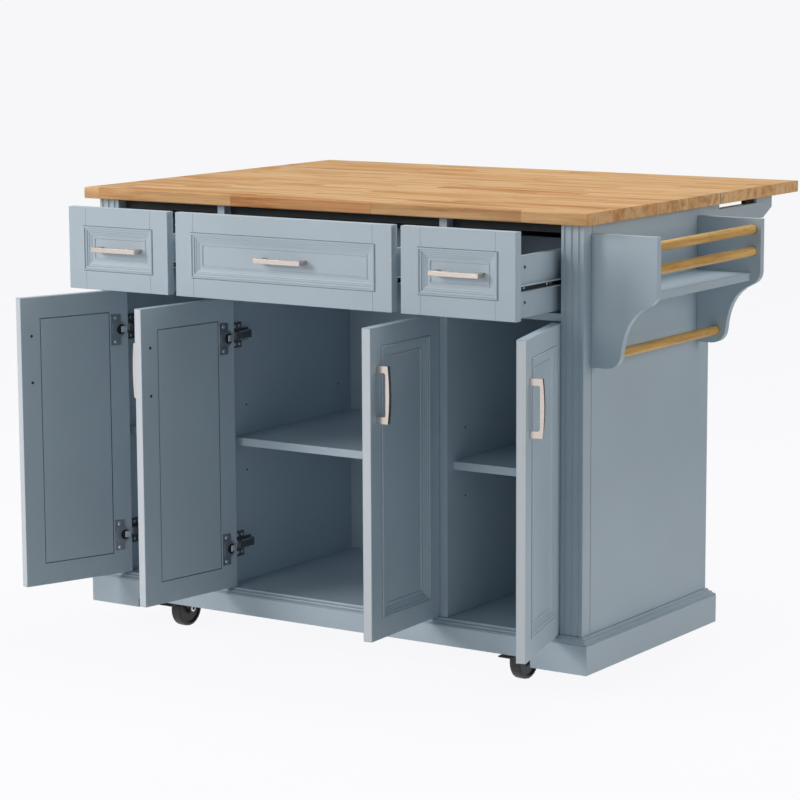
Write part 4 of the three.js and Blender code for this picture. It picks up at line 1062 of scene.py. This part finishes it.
floor_material, tree, shader = start_material("pale_floor", 0.9, specular=0.0)
shader.inputs["Base Color"].default_value = (*FLOOR_COLOR, 1)
glow = add_node(tree, "ShaderNodeEmission", {"Color": (*NEAR_WHITE, 1), "Strength": GLOW_STRENGTH})
seen = math_node(tree, "MULTIPLY", sees_backdrop(tree), FLOOR_GLOW)
both = add_node(tree, "ShaderNodeMixShader", {0: seen, 1: shader.outputs[0], 2: glow.outputs[0]})
tree.links.new(both.outputs[0], tree.nodes["Material Output"].inputs["Surface"])
floor = square_sheet("floor", FLOOR_SIZE, Matrix.Translation((0, 0, FLOOR_Z)), floor_material)
floor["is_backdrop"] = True
print("floor", FLOOR_SIZE, "m wide")

# %% [markdown]
# The world is seen beyond the floor's edge, so the same rays find the same near-white there. For all
# other rays it is a weak cool light from every side, which fills the shadows with the blue of a bright
# room.

# %% World
SKY_COLOR = (0.85, 0.96, 1.0)
SKY_STRENGTH = 0.15

world = bpy.data.worlds.new("world")
world.use_nodes = True
bpy.context.scene.world = world
tree = world.node_tree
lighting = tree.nodes["Background"]
lighting.inputs["Color"].default_value = (*SKY_COLOR, 1)
lighting.inputs["Strength"].default_value = SKY_STRENGTH
backdrop = add_node(tree, "ShaderNodeBackground", {"Color": (*NEAR_WHITE, 1), "Strength": 1.0})
chooser = add_node(tree, "ShaderNodeMixShader", {
    0: sees_backdrop(tree), 1: lighting.outputs[0], 2: backdrop.outputs[0],
})
tree.links.new(chooser.outputs[0], tree.nodes["World Output"].inputs["Surface"])
print("world set")

# %% [markdown]
# Shiny goods on a white stage turn white all round, and lose their shape. A photographer stands a black
# card beside them, out of sight, so that their ends turn dark. One card does it here for the pulls: it
# stands to the right and behind, and only shiny rays meet it, so it dims nothing else.

# %% Black card
CARD_SIZE = 2.1
CARD_PLACE = (0.86, 1.85, FLOOR_Z + CARD_SIZE / 2)
CARD_YAW = math.radians(158)

upright = Matrix.Rotation(CARD_YAW, 4, "Z") @ Matrix.Rotation(math.radians(90), 4, "X")
card_black = dull_black("card_black", (0.010, 0.010, 0.010), 0.9, 0.0, 20.0)
card = square_sheet("black_card", CARD_SIZE, Matrix.Translation(CARD_PLACE) @ upright, card_black)
card.visible_camera = card.visible_diffuse = card.visible_shadow = card.visible_transmission = False
card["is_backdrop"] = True
print("card at", CARD_PLACE)

# %% [markdown]
# Four large round lamps light the island. One hard lamp would leave the bays black and draw sharp
# shadows that the picture lacks. The key lamp stands to the front left, as the bright drawer fronts and
# the dark pilaster say. A weaker one in front opens the bays, one at the right lights the side panel,
# and one above lights the worktop.

# %% Lamps
LAMP_TARGET = Vector((0, 0, -0.45))


def soft_lamp(name, place, size, power, color):
    data = bpy.data.lights.new(name, "AREA")
    data.shape = "DISK"
    data.size = size
    data.energy = power
    data.color = color
    lamp = bpy.data.objects.new(name, data)
    place = Vector(place)
    turn = (LAMP_TARGET - place).to_track_quat("-Z", "Y").to_matrix().to_4x4()
    lamp.matrix_world = Matrix.Translation(place) @ turn
    bpy.context.scene.collection.objects.link(lamp)


soft_lamp("key_lamp", (-3.0, -4.0, 1.6), 2.2, 122, (1.0, 0.90, 0.86))
soft_lamp("front_lamp", (-0.5, -5.0, 0.9), 2.2, 37, (1.0, 0.94, 0.92))
soft_lamp("side_lamp", (4.6, 0.8, 1.0), 2.2, 50, (1.0, 0.91, 0.87))
soft_lamp("top_lamp", (0.4, 0.6, 3.4), 2.4, 76, (1.0, 1.0, 1.0))
bpy.context.scene.view_settings.view_transform = "Standard"
print("four lamps")

# %% [markdown]
# The last cell prints the size of the dressed model, leaving out the floor and the card.

# %% Finish
bpy.context.view_layer.update()
low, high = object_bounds()
print("visual box", [round(value, 3) for value in (*low, *high)])
